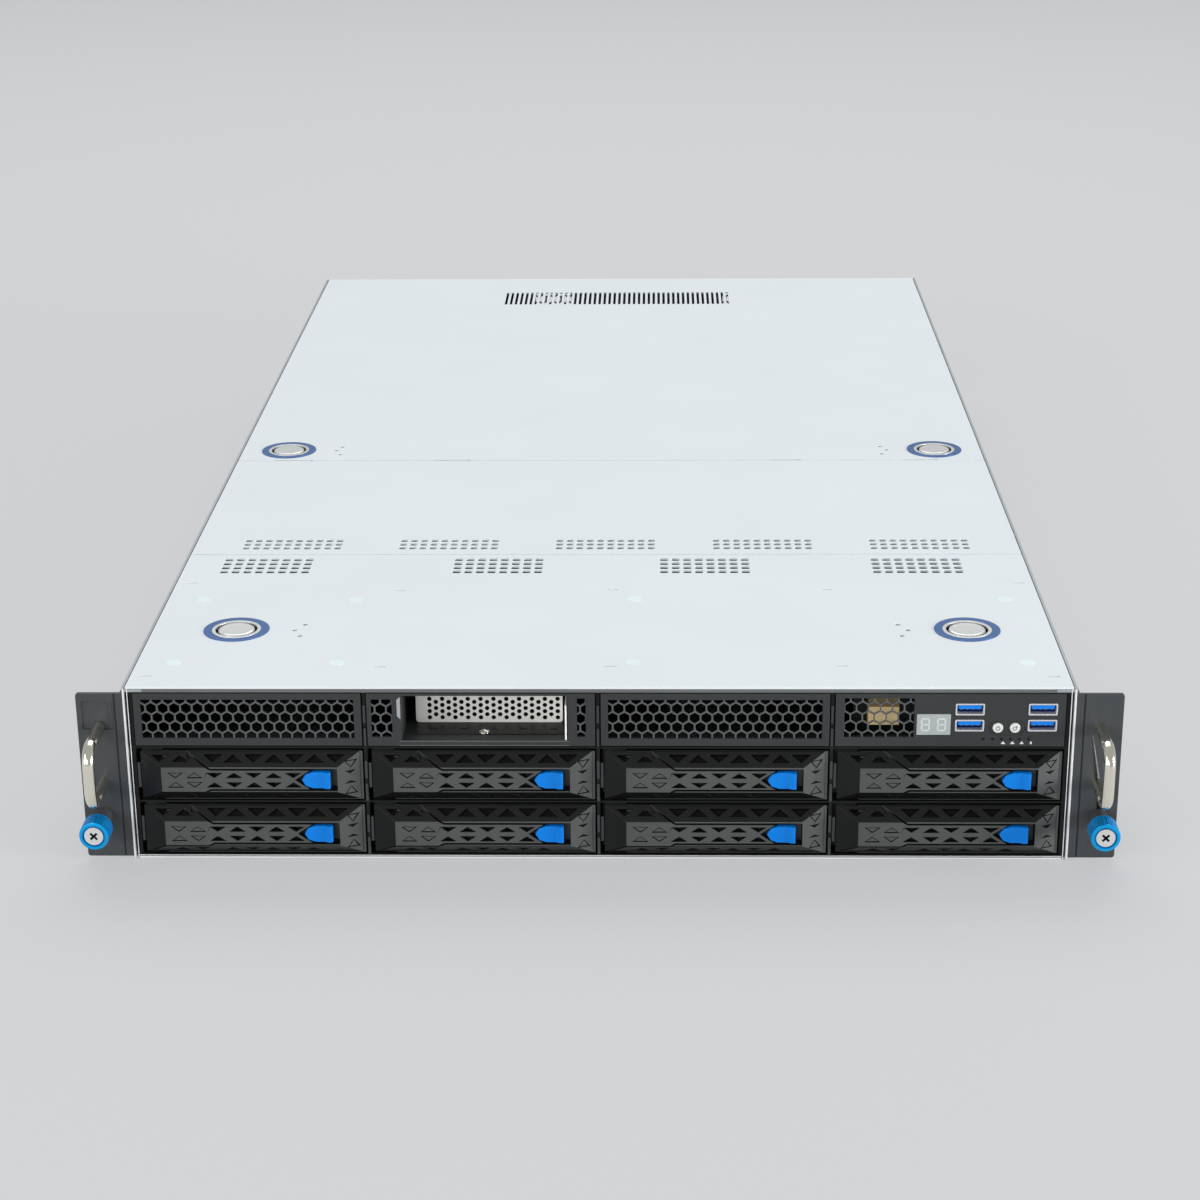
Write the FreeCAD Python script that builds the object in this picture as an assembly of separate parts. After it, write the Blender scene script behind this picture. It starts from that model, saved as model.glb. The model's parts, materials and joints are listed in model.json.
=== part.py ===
import FreeCAD, Part
import math
import os

# A 2U rack server, in millimetres. X runs to the right, Z up, and Y from the front to the rear.
# Every piece is drawn with Y = 0 on the plane of the rack ears. place() then moves it so that
# the part's origin is the middle of its footprint, at floor level.

# Across: the 19-inch width, less what the ears add on each side
ear_span = 482.6
ear_reach = 21.8
chassis_width = ear_span - 2 * ear_reach

# Chassis
chassis_height = 87.4
chassis_depth = 800.0
sheet = 1.2             # folded steel of the tray, the covers and the rear panel
ledge_width = 8.0       # inward flange that the covers lie on
cover_gap = 0.15        # between a cover and what it slides on
cover_side_gap = 0.4
brace_width = 14.0      # cross braces under the two cover seams
brace_height = 2.0
spacer_width = 7.0      # the middle cover's spacers on the ledge
half_width = chassis_width / 2
inner_half = half_width - sheet
ear_half = ear_span / 2
cover_under = chassis_height - sheet
ledge_top = cover_under - cover_gap
cover_half = inner_half - cover_side_gap
floor_top = sheet

# Rack ears
ear_thickness = 2.0
ear_low = 1.0
ear_high = chassis_height - 3.4
ear_corner = 1.5
flange_depth = 55.0
flange_thickness = 1.5
press_high = ear_high - 4.4     # shallow pressed field on the left ear
press_low = press_high - 13.7
press_edge = 2.5
press_width = 14.3
press_depth = 0.4

# Handles and thumbscrews
handle_reach = 31.0
handle_radius = 2.8
handle_bend = 8.0
handle_sides = 12
handle_x = ear_half - 10.3
handle_low = 39.0
handle_high = 67.0
screw_inset = 8.75      # from the ear's edge to its screw
screw_spacing = ear_span - 2 * screw_inset
screw_height = 22.0
knob_radius = 6.85
knob_length = 10.8
knob_flutes = 24
sleeve_radius = 4.5
sleeve_length = 11.7
sleeve_sides = 16
journal_radius = 3.1    # the screw where it turns in the ear
journal_clearance = 0.2
shank_radius = 2.5
shank_tail = 9.0        # thread behind the ear
turn_gap = 0.3          # between a turning piece and its seat

# Drive cage: four columns, two rows of bays and one row of front modules
columns = (-1.5, -0.5, 0.5, 1.5)
rows = (0, 1)
module_share = 32.4     # height left for the front modules, the floor and the lid
cage_margin = 3.5        # from the chassis side to the outer columns
column_pitch = (chassis_width - 2 * cage_margin) / 4
row_pitch = (chassis_height - module_share) / 2
cage_wall = 1.6
shelf = 0.8
cage_front = 1.0
drive_length = 147.0
drive_setback = 16.0     # from the ear plane to the drives, and behind them
cage_depth = drive_setback + drive_length
divider_depth = 45.0
lintel_depth = 10.0
cage_height = chassis_height - 3.4

# Hot-swap trays: the front is a flat-topped pyramid, split into lever, latch and bezel
slide_gap = 0.3
front_width = column_pitch - 5.6
front_low = 1.4         # heights over the bay floor
front_high = row_pitch - 2.0
flat_half = front_width / 2 - 10.2
flat_low = 6.7
flat_high = 19.3
front_base = 0.5
front_rise = 5.0
split_gap = 0.6         # all round the lever
channel_gap = 0.4       # behind the pyramid's base
bezel_half = column_pitch / 2 - 1.5
bezel_low = 0.8
bezel_high = row_pitch - 1.9
bezel_plate = 2.0
bezel_depth = 10.0
bezel_wall = 1.7
rail_height = 12.0
drive_width = column_pitch - 6.4
drive_height = row_pitch - 2.1
drive_floor = 0.6

latch_end = flat_half - 3.3     # positions across the tray, from the column's middle
latch_shoulder = latch_end - 8.1
latch_tip = latch_end - 13.2
lever_end = latch_tip + 4.0
lever_neck = -flat_half + 22.7
lever_shoulder = -flat_half + 10.5
lever_foot = -flat_half + 20.0
lever_low = 8.1
lever_high = 17.8
lever_notch = 7.0
lever_thickness = 2.8
lever_block = -flat_half + 12.0  # the lever is full depth to the left of here
window_count = 5
window_height = 2.4
window_start = lever_neck + 2.0
window_pitch = (lever_end + 1.2 - window_start) / window_count
window_width = 0.783 * window_pitch
window_low = 9.2
window_high = 14.0

hinge_x = -bezel_half + 5.5
hinge_back = 2.9        # hinge axis behind the lever's back face
hinge_radius = 2.2
pin_radius = 1.2
pin_clearance = 0.06
pin_sides = 10
lug_low = 9.3
lug_high = 16.7
ear_height = 3.6

latch_low = 8.9
latch_high = 17.0
latch_proud = 0.6
latch_thickness = 3.2
latch_foot = 2.4        # narrow foot that runs on the floor of the lever's channel
latch_foot_inset = 1.6

# Backplane
board = 1.6
socket_width = 0.39 * column_pitch
socket_height = 6.0
plug_gap = 0.3
board_vent = 30.0
board_vent_height = 5.0

# Front modules
module_low = sheet + shelf + 2 * row_pitch + 1.0
module_high = chassis_height - 3.3
module_half = column_pitch / 2 - 1.3
module_proud = 0.5
module_plate = 2.0
module_depth = 12.0
module_wall = 1.5
mesh_thickness = 1.0
mesh_half_width = module_half - 3.4
mesh_low = module_low + 3.7
mesh_high = module_high - 3.1
cell_pitch = 7.2
cell_web = 1.1
cell_sides = 6
cell_turn = 90.0          # a corner at the top
course_share = math.sqrt(3) / 2     # a course's height over the pitch

# Expansion slot
slot_left = -column_pitch + 17.0
slot_right = -14.0
slot_low = module_low + 1.0
slot_wall = 1.0
slot_depth = 44.0
strip_pitch = 6.4       # the honeycomb beside the slot
bracket_left = slot_left + 5.5
bracket_right = slot_right - 2.4
bracket_high = module_high - 5.6
bracket_setback = 22.0
bracket_foot = 14.0
bracket_thickness = 1.0

# Control module
panel_middle = 1.5 * column_pitch
panel_cell_count = 4
panel_row_count = 2
panel_cells_left = panel_middle - 0.4444 * column_pitch
panel_cells_low = module_low + 8.5
display_left = panel_middle - 0.1426 * column_pitch
display_right = panel_middle + 0.0028 * column_pitch
display_low = module_low + 5.7
display_high = display_low + 10.4
display_gap = 0.2
usb_columns = (panel_middle + 0.0824 * column_pitch, panel_middle + 0.3917 * column_pitch)
usb_rows = (module_low + 10.5, module_low + 18.5)
usb_width = 13.4
usb_height = 5.8
usb_wall = 0.4
usb_tongue_width = 11.0
usb_tongue = 1.8
button_height = module_low + 9.4
power_x = panel_middle + 0.2028 * column_pitch
locate_x = panel_middle + 0.2759 * column_pitch
button_radius = 2.4
button_clearance = 0.15
button_proud = 0.6
button_flange = 0.8
button_flange_thickness = 1.0
button_travel = 0.8
button_sides = 20
switch_size = 6.0
panel_board_left = panel_middle - 0.4074 * column_pitch
panel_board_right = panel_middle + 0.4722 * column_pitch
capacitor_width = 14.7
capacitor_left = panel_middle - 0.3481 * column_pitch
capacitor_low = module_low + 8.4
capacitor_high = capacitor_low + 15.1
capacitor_length = 6.0

# Covers
front_seam = cage_depth + 19.5
rear_seam = front_seam + 164.8
seam_gap = 0.5
front_button = (cover_half - 40.7, front_seam - 109.8)
rear_button = (cover_half - 27.2, rear_seam + 20.0)
cup_radius = 10.9
cup_wall = 0.95
cup_depth = 8.8
cup_sides = 24
cap_radius = 9.0
cap_height = 4.6
cap_proud = 0.5
stem_half = 3.0
stem_gap = 0.3
front_vent_count = 4
vent_pitch_front = 6.17
vent_slot = 4.0
vent_length_front = 0.4278 * column_pitch
vent_start_front = front_seam - 26.5
vent_places_front = (-1.623, -0.509, 0.4815, 1.495)     # in column pitches
middle_vent_count = 3
vent_pitch_middle = 5.4
vent_slot_middle = 3.6
vent_length_middle = 0.4833 * column_pitch
vent_start_middle = front_seam + 10.5
vent_places_middle = (-1.537, -0.7685, 0.0, 0.7685, 1.537)
louvre_count = 12
louvre_pitch = 0.0323 * chassis_width
louvre_width = 9.0
louvre_front = chassis_depth - 78.0
louvre_rear = chassis_depth - 42.0

# Cooling
fan_size = chassis_height - 7.4
fan_depth = 38.0
fan_start = front_seam + 11.5
fan_bore = fan_size / 2 - 2.0
fan_bore_sides = 16
fan_base = 16.0
fan_base_depth = 3.0
fan_strut = 4.0
hub_radius = 16.0
hub_sides = 12
hub_depth = 20.0
blade_count = 5
blade_tip = fan_bore - 3.0
blade_chord = 22.0
blade_thickness = 1.6
blade_pitch = 38.0

# Mainboard
supply_width = 73.5
supply_side_gap = 4.8
supply_left = inner_half - supply_side_gap - supply_width
mainboard_left = -inner_half + 6.3
mainboard_right = supply_left - 12.0
mainboard_width = mainboard_right - mainboard_left
mainboard_start = fan_start + fan_depth + 18.0
mainboard_end = chassis_depth - 14.0
standoff = 6.0
standoff_side = 7.0
socket_places = (0.2706, 0.6824)        # across the board
socket_centres = [mainboard_left + place * mainboard_width for place in socket_places]
socket_start = mainboard_start + 80.0
socket_size = 0.2294 * mainboard_width
socket_rise = 6.0
memory_count = 2
memory_pitch = 0.047 * mainboard_width
memory_length = 140.0
memory_height = 30.0
memory_width = 5.0
fin_count = 9
fin_thickness = 1.6
fin_height = 52.0
fin_base = 6.0
fin_depth = 100.0

# Rear wall, power bay and ports
supply_height = 0.4577 * chassis_height
supply_length = 185.0
supply_gap = 0.3
supply_proud = 1.0
bay_shelf = 0.8
supply_reach = 25.0     # handles behind the rear wall
grip_x = 50.0
grip_width = 4.0
grip_low = 7.0
grip_high = supply_height - 7.0
inlet_left = 8.0
inlet_width = 25.0
inlet_low = 11.0
inlet_height = 18.0
inlet_depth = 15.0
tab_left = 65.0
tab_width = 3.0
tab_low = 12.0
tab_high = supply_height - 12.0
tab_reach = 14.0
tab_pocket = 5.0
tab_travel = 2.0
port_width = 16.0
port_centres = (mainboard_left + 13.0, mainboard_left + 31.0)
port_height = 13.5
port_length = 21.0
port_mouth_width = 12.0
port_mouth_height = 8.4
port_mouth_depth = 14.0
port_edge = 0.4
expansion_count = 3
expansion_width = 0.2824 * mainboard_width
expansion_height = 12.0
expansion_pitch = 0.2346 * chassis_height
expansion_low = 30.0
expansion_lap = 1.5     # blanks lap the wall by this much all round

# Worked out
first_bay = floor_top + shelf
lever_front = front_base - front_rise
hinge_y = front_base + hinge_back
channel_floor = front_base + channel_gap
drive_end = cage_depth - plug_gap
front_y = -(chassis_depth + supply_reach - handle_reach) / 2


def block(x, y, z):
    """A box from three (low, high) pairs."""
    return Part.makeBox(x[1] - x[0], y[1] - y[0], z[1] - z[0], FreeCAD.Vector(x[0], y[0], z[0]))


def around(middle, width):
    """The (low, high) pair centred on a value."""
    return (middle - width / 2, middle + width / 2)


def rod(radius, start, end):
    """A round bar between two points."""
    axis = end - start
    return Part.makeCylinder(radius, axis.Length, start, axis)


def facing(y):
    """The upright plane at one depth: flat points are (across, up)."""
    return lambda across, up: FreeCAD.Vector(across, y, up)


def lying(z):
    """The level plane at one height: flat points are (across, deep)."""
    return lambda across, deep: FreeCAD.Vector(across, deep, z)


def loop(points, plane):
    """A closed wire through flat points."""
    corners = [plane(*point) for point in points]
    return Part.makePolygon(corners + corners[:1])


def rectangle(across, up):
    """The corners of a rectangle from two (low, high) pairs."""
    return [(across[0], up[0]), (across[1], up[0]), (across[1], up[1]), (across[0], up[1])]


def regular(centre, radius, sides, start=0.0):
    """The corners of a regular polygon; start is the first corner's angle in degrees."""
    turns = [math.radians(start + 360.0 * side / sides) for side in range(sides)]
    return [(centre[0] + radius * math.cos(turn), centre[1] + radius * math.sin(turn)) for turn in turns]


def around_flats(radius, sides):
    """Corner radius of a regular polygon whose flats clear a circle."""
    return radius / math.cos(math.pi / sides)


def plate(outline, openings, plane, thickness):
    """A flat plate with openings, thickened along the plane's own normal: +Y or +Z."""
    wires = [loop(points, plane) for points in [outline] + openings]
    origin = plane(0, 0)
    normal = FreeCAD.Vector(0, 1, 0) if (plane(0, 1) - origin).z else FreeCAD.Vector(0, 0, 1)
    return Part.makeFace(wires, "Part::FaceMakerBullseye").extrude(normal * thickness)


def faceted(front, back):
    """A solid between two flat outlines with the same number of corners, both given as vectors."""
    count = len(front)
    sides = [
        [front[i], front[(i + 1) % count], back[(i + 1) % count], back[i]]
        for i in range(count)
    ]
    faces = [Part.Face(Part.makePolygon(ring + ring[:1])) for ring in [front, back] + sides]
    return Part.Solid(Part.Shell(faces))


def joined(pieces):
    """One solid from pieces that touch or overlap."""
    return pieces[0].multiFuse(pieces[1:]).removeSplitter()


# Chassis

def chassis_tray():
    """Floor, side walls with inward flanges, and two cross braces."""
    right = [
        (half_width, 0),
        (half_width, chassis_height),
        (inner_half, chassis_height),
        (inner_half, ledge_top),
        (inner_half - ledge_width, ledge_top),
        (inner_half - ledge_width, ledge_top - sheet),
        (inner_half, ledge_top - sheet),
        (inner_half, floor_top),
    ]
    left = [(-across, up) for across, up in reversed(right)]
    section = Part.Face(loop(right + left, facing(0)))
    pieces = [section.extrude(FreeCAD.Vector(0, chassis_depth, 0))]
    for seam in (front_seam, rear_seam):
        brace = (ledge_top - brace_height, ledge_top)
        pieces.append(block((-inner_half, inner_half), around(seam, brace_width), brace))
    return joined(pieces)


def rack_ears():
    """Two folded brackets, and the turned sleeves that hold the thumbscrews in them."""
    solids = []
    for side in (-1, 1):
        edges = sorted((side * half_width, side * ear_half))
        face = block(edges, (0, ear_thickness), (ear_low, ear_high))
        corners = [edge for edge in face.Edges if abs(edge.BoundBox.Center.x - side * ear_half) < ear_corner
                   and edge.BoundBox.YLength > ear_thickness / 2 and edge.BoundBox.ZLength < ear_corner]
        face = face.makeFillet(ear_corner, corners)
        flange = sorted((side * half_width, side * (half_width + flange_thickness)))
        bracket = face.fuse(block(flange, (0, flange_depth), (ear_low, ear_high)))
        axis = side * screw_spacing / 2
        centre = (axis, screw_height)
        bore = regular(centre, around_flats(journal_radius + journal_clearance, sleeve_sides), sleeve_sides)
        hole = plate(bore, [], facing(0), ear_thickness)
        if side < 0:
            field = (-ear_half + press_edge, -ear_half + press_edge + press_width)
            bracket = bracket.cut(block(field, (0, press_depth), (press_low, press_high)))
        solids.append(bracket.cut(hole).removeSplitter())
        solids.append(plate(regular(centre, sleeve_radius, sleeve_sides), [bore],
                            facing(-sleeve_length), sleeve_length))
    return solids


def rack_handles():
    """Two bent steel rods that stand on the ears."""
    solids = []
    knee = handle_radius + handle_bend - handle_reach
    for side in (-1, 1):
        across = side * handle_x
        pieces = []
        for level, turn in ((handle_low, 1), (handle_high, -1)):
            section = regular((across, level), handle_radius, handle_sides)
            bend = Part.Face(loop(section, facing(knee)))
            pivot = FreeCAD.Vector(across, knee, level + turn * handle_bend)
            pieces.append(plate(section, [], facing(knee), -knee))
            pieces.append(bend.revolve(pivot, FreeCAD.Vector(-turn, 0, 0), 90))
        grip = regular((across, knee - handle_bend), handle_radius, handle_sides)
        low = handle_low + handle_bend
        pieces.append(plate(grip, [], lying(low), handle_high - handle_bend - low))
        solids.append(joined(pieces))
    return solids


def thumbscrew(side):
    """A captive fluted knob on its screw, turned about the ear's hole."""
    centre = (side * screw_spacing / 2, screw_height)
    knob_back = -sleeve_length - turn_gap
    knob = plate(regular(centre, knob_radius, knob_flutes), [], facing(knob_back - knob_length), knob_length)
    points = [FreeCAD.Vector(centre[0], deep, centre[1])
              for deep in (knob_back, ear_thickness + turn_gap, shank_tail)]
    return joined([knob, rod(journal_radius, points[0], points[1]), rod(shank_radius, points[1], points[2])])


# Drive cage

def bay_floor(row):
    """Height of a row's floor."""
    return first_bay + row * row_pitch


def drive_cage():
    """Shelves and dividers for the trays, with a lintel across the front."""
    reach = cage_wall / 2 + 2 * column_pitch
    cage_top = bay_floor(len(rows))
    run = (cage_front, cage_depth)
    levels = range(len(rows) + 1)
    pieces = [block((-reach, reach), run, (bay_floor(row) - shelf, bay_floor(row))) for row in levels]
    lintel_half = inner_half - ledge_width - cover_side_gap
    lintel = (module_high + slide_gap, ledge_top - cover_gap)
    pieces.append(block((-lintel_half, lintel_half), (cage_front, lintel_depth), lintel))
    for wall in range(-2, 3):
        across = around(wall * column_pitch, cage_wall)
        outer = abs(wall) == 2
        pieces.append(block(across, run, (floor_top, cage_top)))
        depth = cage_depth if outer else divider_depth
        pieces.append(block(across, (cage_front, depth), (cage_top - shelf, cage_height)))
        if not outer:
            pieces.append(block(across, (cage_front, lintel_depth), (cage_height - shelf, lintel[1])))
    return joined(pieces)


def drive_backplane():
    """Board across the back of the cage, with a plug socket for each drive."""
    reach = 2 * column_pitch
    vents = []
    for column in columns:
        for row in rows:
            across = around(column * column_pitch, board_vent)
            up = bay_floor(row) + drive_height - board_vent_height
            vents.append(rectangle(across, (up, up + board_vent_height)))
    card = plate(rectangle((-reach, reach), (first_bay, bay_floor(2) - shelf)), vents,
                 facing(cage_depth), board)
    pieces = [card]
    for column in columns:
        for row in rows:
            across = around(column * column_pitch, socket_width)
            low = bay_floor(row) + socket_height
            deep = (drive_end, cage_depth)
            pieces.append(block(across, deep, (low, low + socket_height)))
    return joined(pieces)


# Hot-swap trays

def pyramid(middle, floor):
    """The tray's flat-topped front."""
    outer = facing(front_base)
    inner = facing(lever_front)
    half = front_width / 2
    base = rectangle((middle - half, middle + half), (floor + front_low, floor + front_high))
    flat = rectangle((middle - flat_half, middle + flat_half), (floor + flat_low, floor + flat_high))
    return faceted([inner(*point) for point in flat], [outer(*point) for point in base])


def lever_outline(middle, floor):
    """The lever seen from the front: a full-height block that narrows into an arm with a notched end."""
    half = front_width / 2
    centre = (lever_low + lever_high) / 2
    points = [
        (-half, front_high),
        (lever_shoulder, front_high),
        (lever_neck, lever_high),
        (lever_end, lever_high),
        (lever_end - lever_notch, centre),
        (lever_end, lever_low),
        (lever_neck, lever_low),
        (lever_foot, flat_low),
        (-flat_half, flat_low),
        (-half, front_low),
    ]
    return [(middle + across, floor + up) for across, up in points]


def triangle(left, low, points_up):
    """A window's outline, pointing up or down."""
    middle = left + window_width / 2
    base, tip = (low, low + window_height) if points_up else (low + window_height, low)
    return [(left, base), (left + window_width, base), (middle, tip)]


def lever_windows(middle, floor):
    """Two staggered rows of triangular windows along the lever's arm."""
    shapes = []
    for index in range(window_count):
        left = middle + window_start + index * window_pitch - window_width / 2
        shapes.append(triangle(left, floor + window_high, index % 2 == 1))
        shapes.append(triangle(left, floor + window_low, index % 2 == 0))
    return shapes


def knuckle(across, root):
    """The outline of a hinge knuckle, seen from above: straight from its root, with a clipped end."""
    end = hinge_y + math.copysign(hinge_radius, hinge_y - root)
    clip = end - math.copysign(hinge_radius / 2, hinge_y - root)
    half = hinge_radius
    return [(across - half, root), (across + half, root), (across + half, clip),
            (across + half / 2, end), (across - half / 2, end), (across - half, clip)]


def tray_lever(column, row):
    """The ejector lever: it swings on a pin at its left end, which it carries between two ears."""
    middle = column * column_pitch
    floor = bay_floor(row)
    face = Part.Face(loop(lever_outline(middle, floor), facing(lever_front)))
    lever = pyramid(middle, floor).common(face.extrude(FreeCAD.Vector(0, front_rise, 0)))
    behind = block((middle + lever_block, middle + lever_end),
                   (lever_front + lever_thickness, front_base), (floor, floor + row_pitch))
    lever = lever.cut(behind)
    depth = FreeCAD.Vector(0, lever_thickness + front_rise, 0)
    windows = [
        Part.Face(loop(shape, facing(lever_front - 1))).extrude(depth)
        for shape in lever_windows(middle, floor)
    ]
    lever = lever.cut(Part.makeCompound(windows))
    across = middle + hinge_x
    pieces = [lever]
    lower = (floor + lug_low - turn_gap - ear_height, floor + lug_low - turn_gap)
    upper = (floor + lug_high + turn_gap, floor + lug_high + turn_gap + ear_height)
    for ear in (lower, upper):
        pieces.append(plate(knuckle(across, front_base), [], lying(ear[0]), ear_height))
    pieces.append(plate(regular((across, hinge_y), pin_radius, pin_sides), [],
                        lying(lower[1]), upper[0] - lower[1]))
    return joined(pieces)


def tray_latch(column, row):
    """The bullet-shaped slider that catches the end of the lever."""
    middle = column * column_pitch
    half = (latch_high - latch_low) / 2
    centre = bay_floor(row) + (latch_low + latch_high) / 2
    nose = latch_shoulder - latch_tip
    radius = (nose * nose + half * half) / (2 * half)
    turn = math.asin(nose / radius) / 2
    bulge_back = radius * math.sin(turn)
    bulge_half = half - radius * (1 - math.cos(turn))
    above = [(latch_shoulder - bulge_back, bulge_half), (latch_shoulder, half), (latch_end, half)]
    below = [(across, -up) for across, up in reversed(above)]
    outline = [(middle + across, centre + up) for across, up in [(latch_tip, 0)] + above + below]
    front = lever_front - latch_proud
    head = plate(outline, [], facing(front), latch_thickness)
    foot = block((middle + latch_shoulder, middle + latch_end - latch_foot_inset),
                 (front + latch_thickness, channel_floor - slide_gap), around(centre, latch_foot))
    return joined([head, foot])


def drive_tray(column, row):
    """The tray's bezel, hinge lug and side rails in one moulding, and the drive that it carries."""
    middle = column * column_pitch
    floor = bay_floor(row)
    left = middle - bezel_half
    right = middle + bezel_half
    up = (floor + bezel_low, floor + bezel_high)
    hinge_side = middle - flat_half
    back = channel_floor + bezel_plate
    deep = channel_floor + bezel_depth
    front = pyramid(middle, floor)
    skirt = block((middle - front_width / 2, middle + front_width / 2), (front_base, channel_floor),
                  (floor + front_low, floor + front_high))
    split = loop(lever_outline(middle, floor), facing(lever_front - 1)).makeOffset2D(split_gap, 2)
    channel = block((middle + lever_neck, middle + flat_half),
                    (lever_front - 1, channel_floor), (floor + lever_low - split_gap,
                                                        floor + lever_high + split_gap))
    cleared = Part.Face(split).extrude(FreeCAD.Vector(0, channel_floor - lever_front + 1, 0))
    front = front.fuse(skirt).cut(Part.makeCompound([cleared, channel]))
    axis = middle + hinge_x
    lug = (floor + lug_low, floor + lug_high)
    rear = (deep - bezel_wall, deep)
    pieces = [
        front,
        block((hinge_side, right), (channel_floor, back), up),
        block((hinge_side, hinge_side + bezel_wall), (channel_floor, deep), up),
        block((right - bezel_wall, right), (channel_floor, deep), up),
        block((hinge_side, right), (channel_floor, deep), (up[1] - bezel_wall, up[1])),
        block((hinge_side, right), (channel_floor, deep), (up[0], up[0] + bezel_wall)),
        block((left, hinge_side), rear, up),
        plate(knuckle(axis, deep), [], lying(lug[0]), lug[1] - lug[0]),
    ]
    rail_inner = drive_width / 2
    drive_start = drive_end - drive_length
    rails = (floor + slide_gap, floor + rail_height)
    for across in ((left, middle - rail_inner), (middle + rail_inner, right)):
        pieces.append(block(across, (rear[0], drive_end), rails))
    bore = around_flats(pin_radius + pin_clearance, pin_sides)
    hole = plate(regular((axis, hinge_y), bore, pin_sides), [], lying(floor), row_pitch)
    tray = joined(pieces).cut(hole)
    drive = block((middle - rail_inner, middle + rail_inner), (drive_start, drive_end),
                  (floor + drive_floor, floor + drive_floor + drive_height))
    return [tray, drive]


# Front modules

def honeycomb(left, low, count, courses, pitch):
    """Staggered courses of upright hexagons; alternate courses hold one fewer."""
    radius = (pitch - cell_web) / math.sqrt(3)
    cells = []
    for course in range(courses):
        shift = pitch / 2 if course % 2 else 0
        for index in range(count - course % 2):
            centre = (left + shift + pitch * (index + 0.5), low + radius + course * pitch * course_share)
            cells.append(regular(centre, radius, cell_sides, cell_turn))
    return cells


def module_frame(middle, opening):
    """A module's front frame: a face with one opening, and a rim round its back."""
    face_y = -module_proud
    across = (middle - module_half, middle + module_half)
    up = (module_low, module_high)
    inner = (across[0] + module_wall, across[1] - module_wall)
    core = (up[0] + module_wall, up[1] - module_wall)
    face = plate(rectangle(across, up), [opening], facing(face_y), module_plate)
    rim = plate(rectangle(across, up), [rectangle(inner, core)], facing(face_y + module_plate),
                module_depth - module_plate)
    return face.fuse(rim)


def vent_bezel(column):
    """A front module with a recessed honeycomb."""
    middle = column * column_pitch
    across = (middle - mesh_half_width, middle + mesh_half_width)
    frame = module_frame(middle, rectangle(across, (mesh_low, mesh_high)))
    border = rectangle((across[0] - module_wall, across[1] + module_wall),
                       (mesh_low - module_wall, mesh_high + module_wall))
    count = int((2 * mesh_half_width + cell_web) / cell_pitch)
    courses = int((mesh_high - mesh_low) / (cell_pitch * course_share))
    left = middle - count * cell_pitch / 2
    cell_height = (courses - 1) * cell_pitch * course_share + 2 * (cell_pitch - cell_web) / math.sqrt(3)
    low = (mesh_low + mesh_high - cell_height) / 2
    mesh = plate(border, honeycomb(left, low, count, courses, cell_pitch),
                 facing(module_plate - module_proud), mesh_thickness)
    return joined([frame, mesh])


def slot_bezel():
    """The front module with the expansion slot: side honeycombs and an open tunnel."""
    middle = -0.5 * column_pitch
    across = (middle - module_half, middle + module_half)
    opening = rectangle((slot_left, slot_right), (slot_low, module_high - module_wall))
    strips = honeycomb(across[0] + cell_web, mesh_low, 2, 3, strip_pitch)
    strips += honeycomb((slot_right + across[1] - strip_pitch) / 2, mesh_low, 1, 3, strip_pitch)
    face = plate(rectangle(across, (module_low, module_high)), [opening] + strips,
                 facing(-module_proud), module_plate)
    deep = (module_plate - module_proud, slot_depth)
    floor = block((slot_left - slot_wall, slot_right + slot_wall), deep, (slot_low - slot_wall, slot_low))
    up = (slot_low, module_high - module_wall)
    left = block((slot_left - slot_wall, slot_left), deep, up)
    right = block((slot_right, slot_right + slot_wall), deep, up)
    return joined([face, floor, left, right])


def slot_bracket():
    """The folded steel cover of the expansion slot, standing on the tunnel's floor."""
    across = (bracket_left, bracket_right)
    back = bracket_setback + bracket_thickness
    upright = block(across, (bracket_setback, back), (slot_low, bracket_high))
    foot = block(across, (bracket_setback - bracket_foot, back), (slot_low, slot_low + bracket_thickness))
    return joined([upright, foot])


def control_bezel():
    """The control module: honeycomb, and windows for the display, the sockets and the buttons."""
    across = (panel_middle - module_half, panel_middle + module_half)
    up = (module_low, module_high)
    openings = honeycomb(panel_cells_left, panel_cells_low, panel_cell_count, panel_row_count, cell_pitch)
    grow = display_gap
    openings.append(rectangle((display_left - grow, display_right + grow),
                              (display_low - grow, display_high + grow)))
    for column in usb_columns:
        for row in usb_rows:
            openings.append(rectangle(around(column, usb_width + 2 * grow),
                                      around(row, usb_height + 2 * grow)))
    hole = around_flats(button_radius + button_clearance, button_sides)
    for column in (power_x, locate_x):
        openings.append(regular((column, button_height), hole, button_sides))
    face = plate(rectangle(across, up), openings, facing(-module_proud), module_plate)
    inner = (across[0] + module_wall, across[1] - module_wall)
    core = (up[0] + module_wall, up[1] - module_wall)
    rim = plate(rectangle(across, up), [rectangle(inner, core)],
                facing(module_plate - module_proud), module_depth - module_plate)
    return joined([face, rim])


def panel_board_front():
    """Depth of the control board's front face, against the module's rim."""
    return module_depth - module_proud


def code_display():
    """The two-digit display block."""
    return block((display_left, display_right), (-module_proud, panel_board_front()),
                 (display_low, display_high))


def usb_ports():
    """Four sockets: a steel shell and a plastic tongue each."""
    solids = []
    front = -module_proud - display_gap
    for column in usb_columns:
        for row in usb_rows:
            outer = (around(column, usb_width), around(row, usb_height))
            inner = (around(column, usb_width - 2 * usb_wall), around(row, usb_height - 2 * usb_wall))
            shell = plate(rectangle(*outer), [rectangle(*inner)], facing(front),
                          panel_board_front() - front)
            low = inner[1][1] - usb_tongue - usb_wall
            tongue = block(around(column, usb_tongue_width), (0, panel_board_front()),
                           (low, low + usb_tongue))
            solids += [shell, tongue]
    return solids


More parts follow.
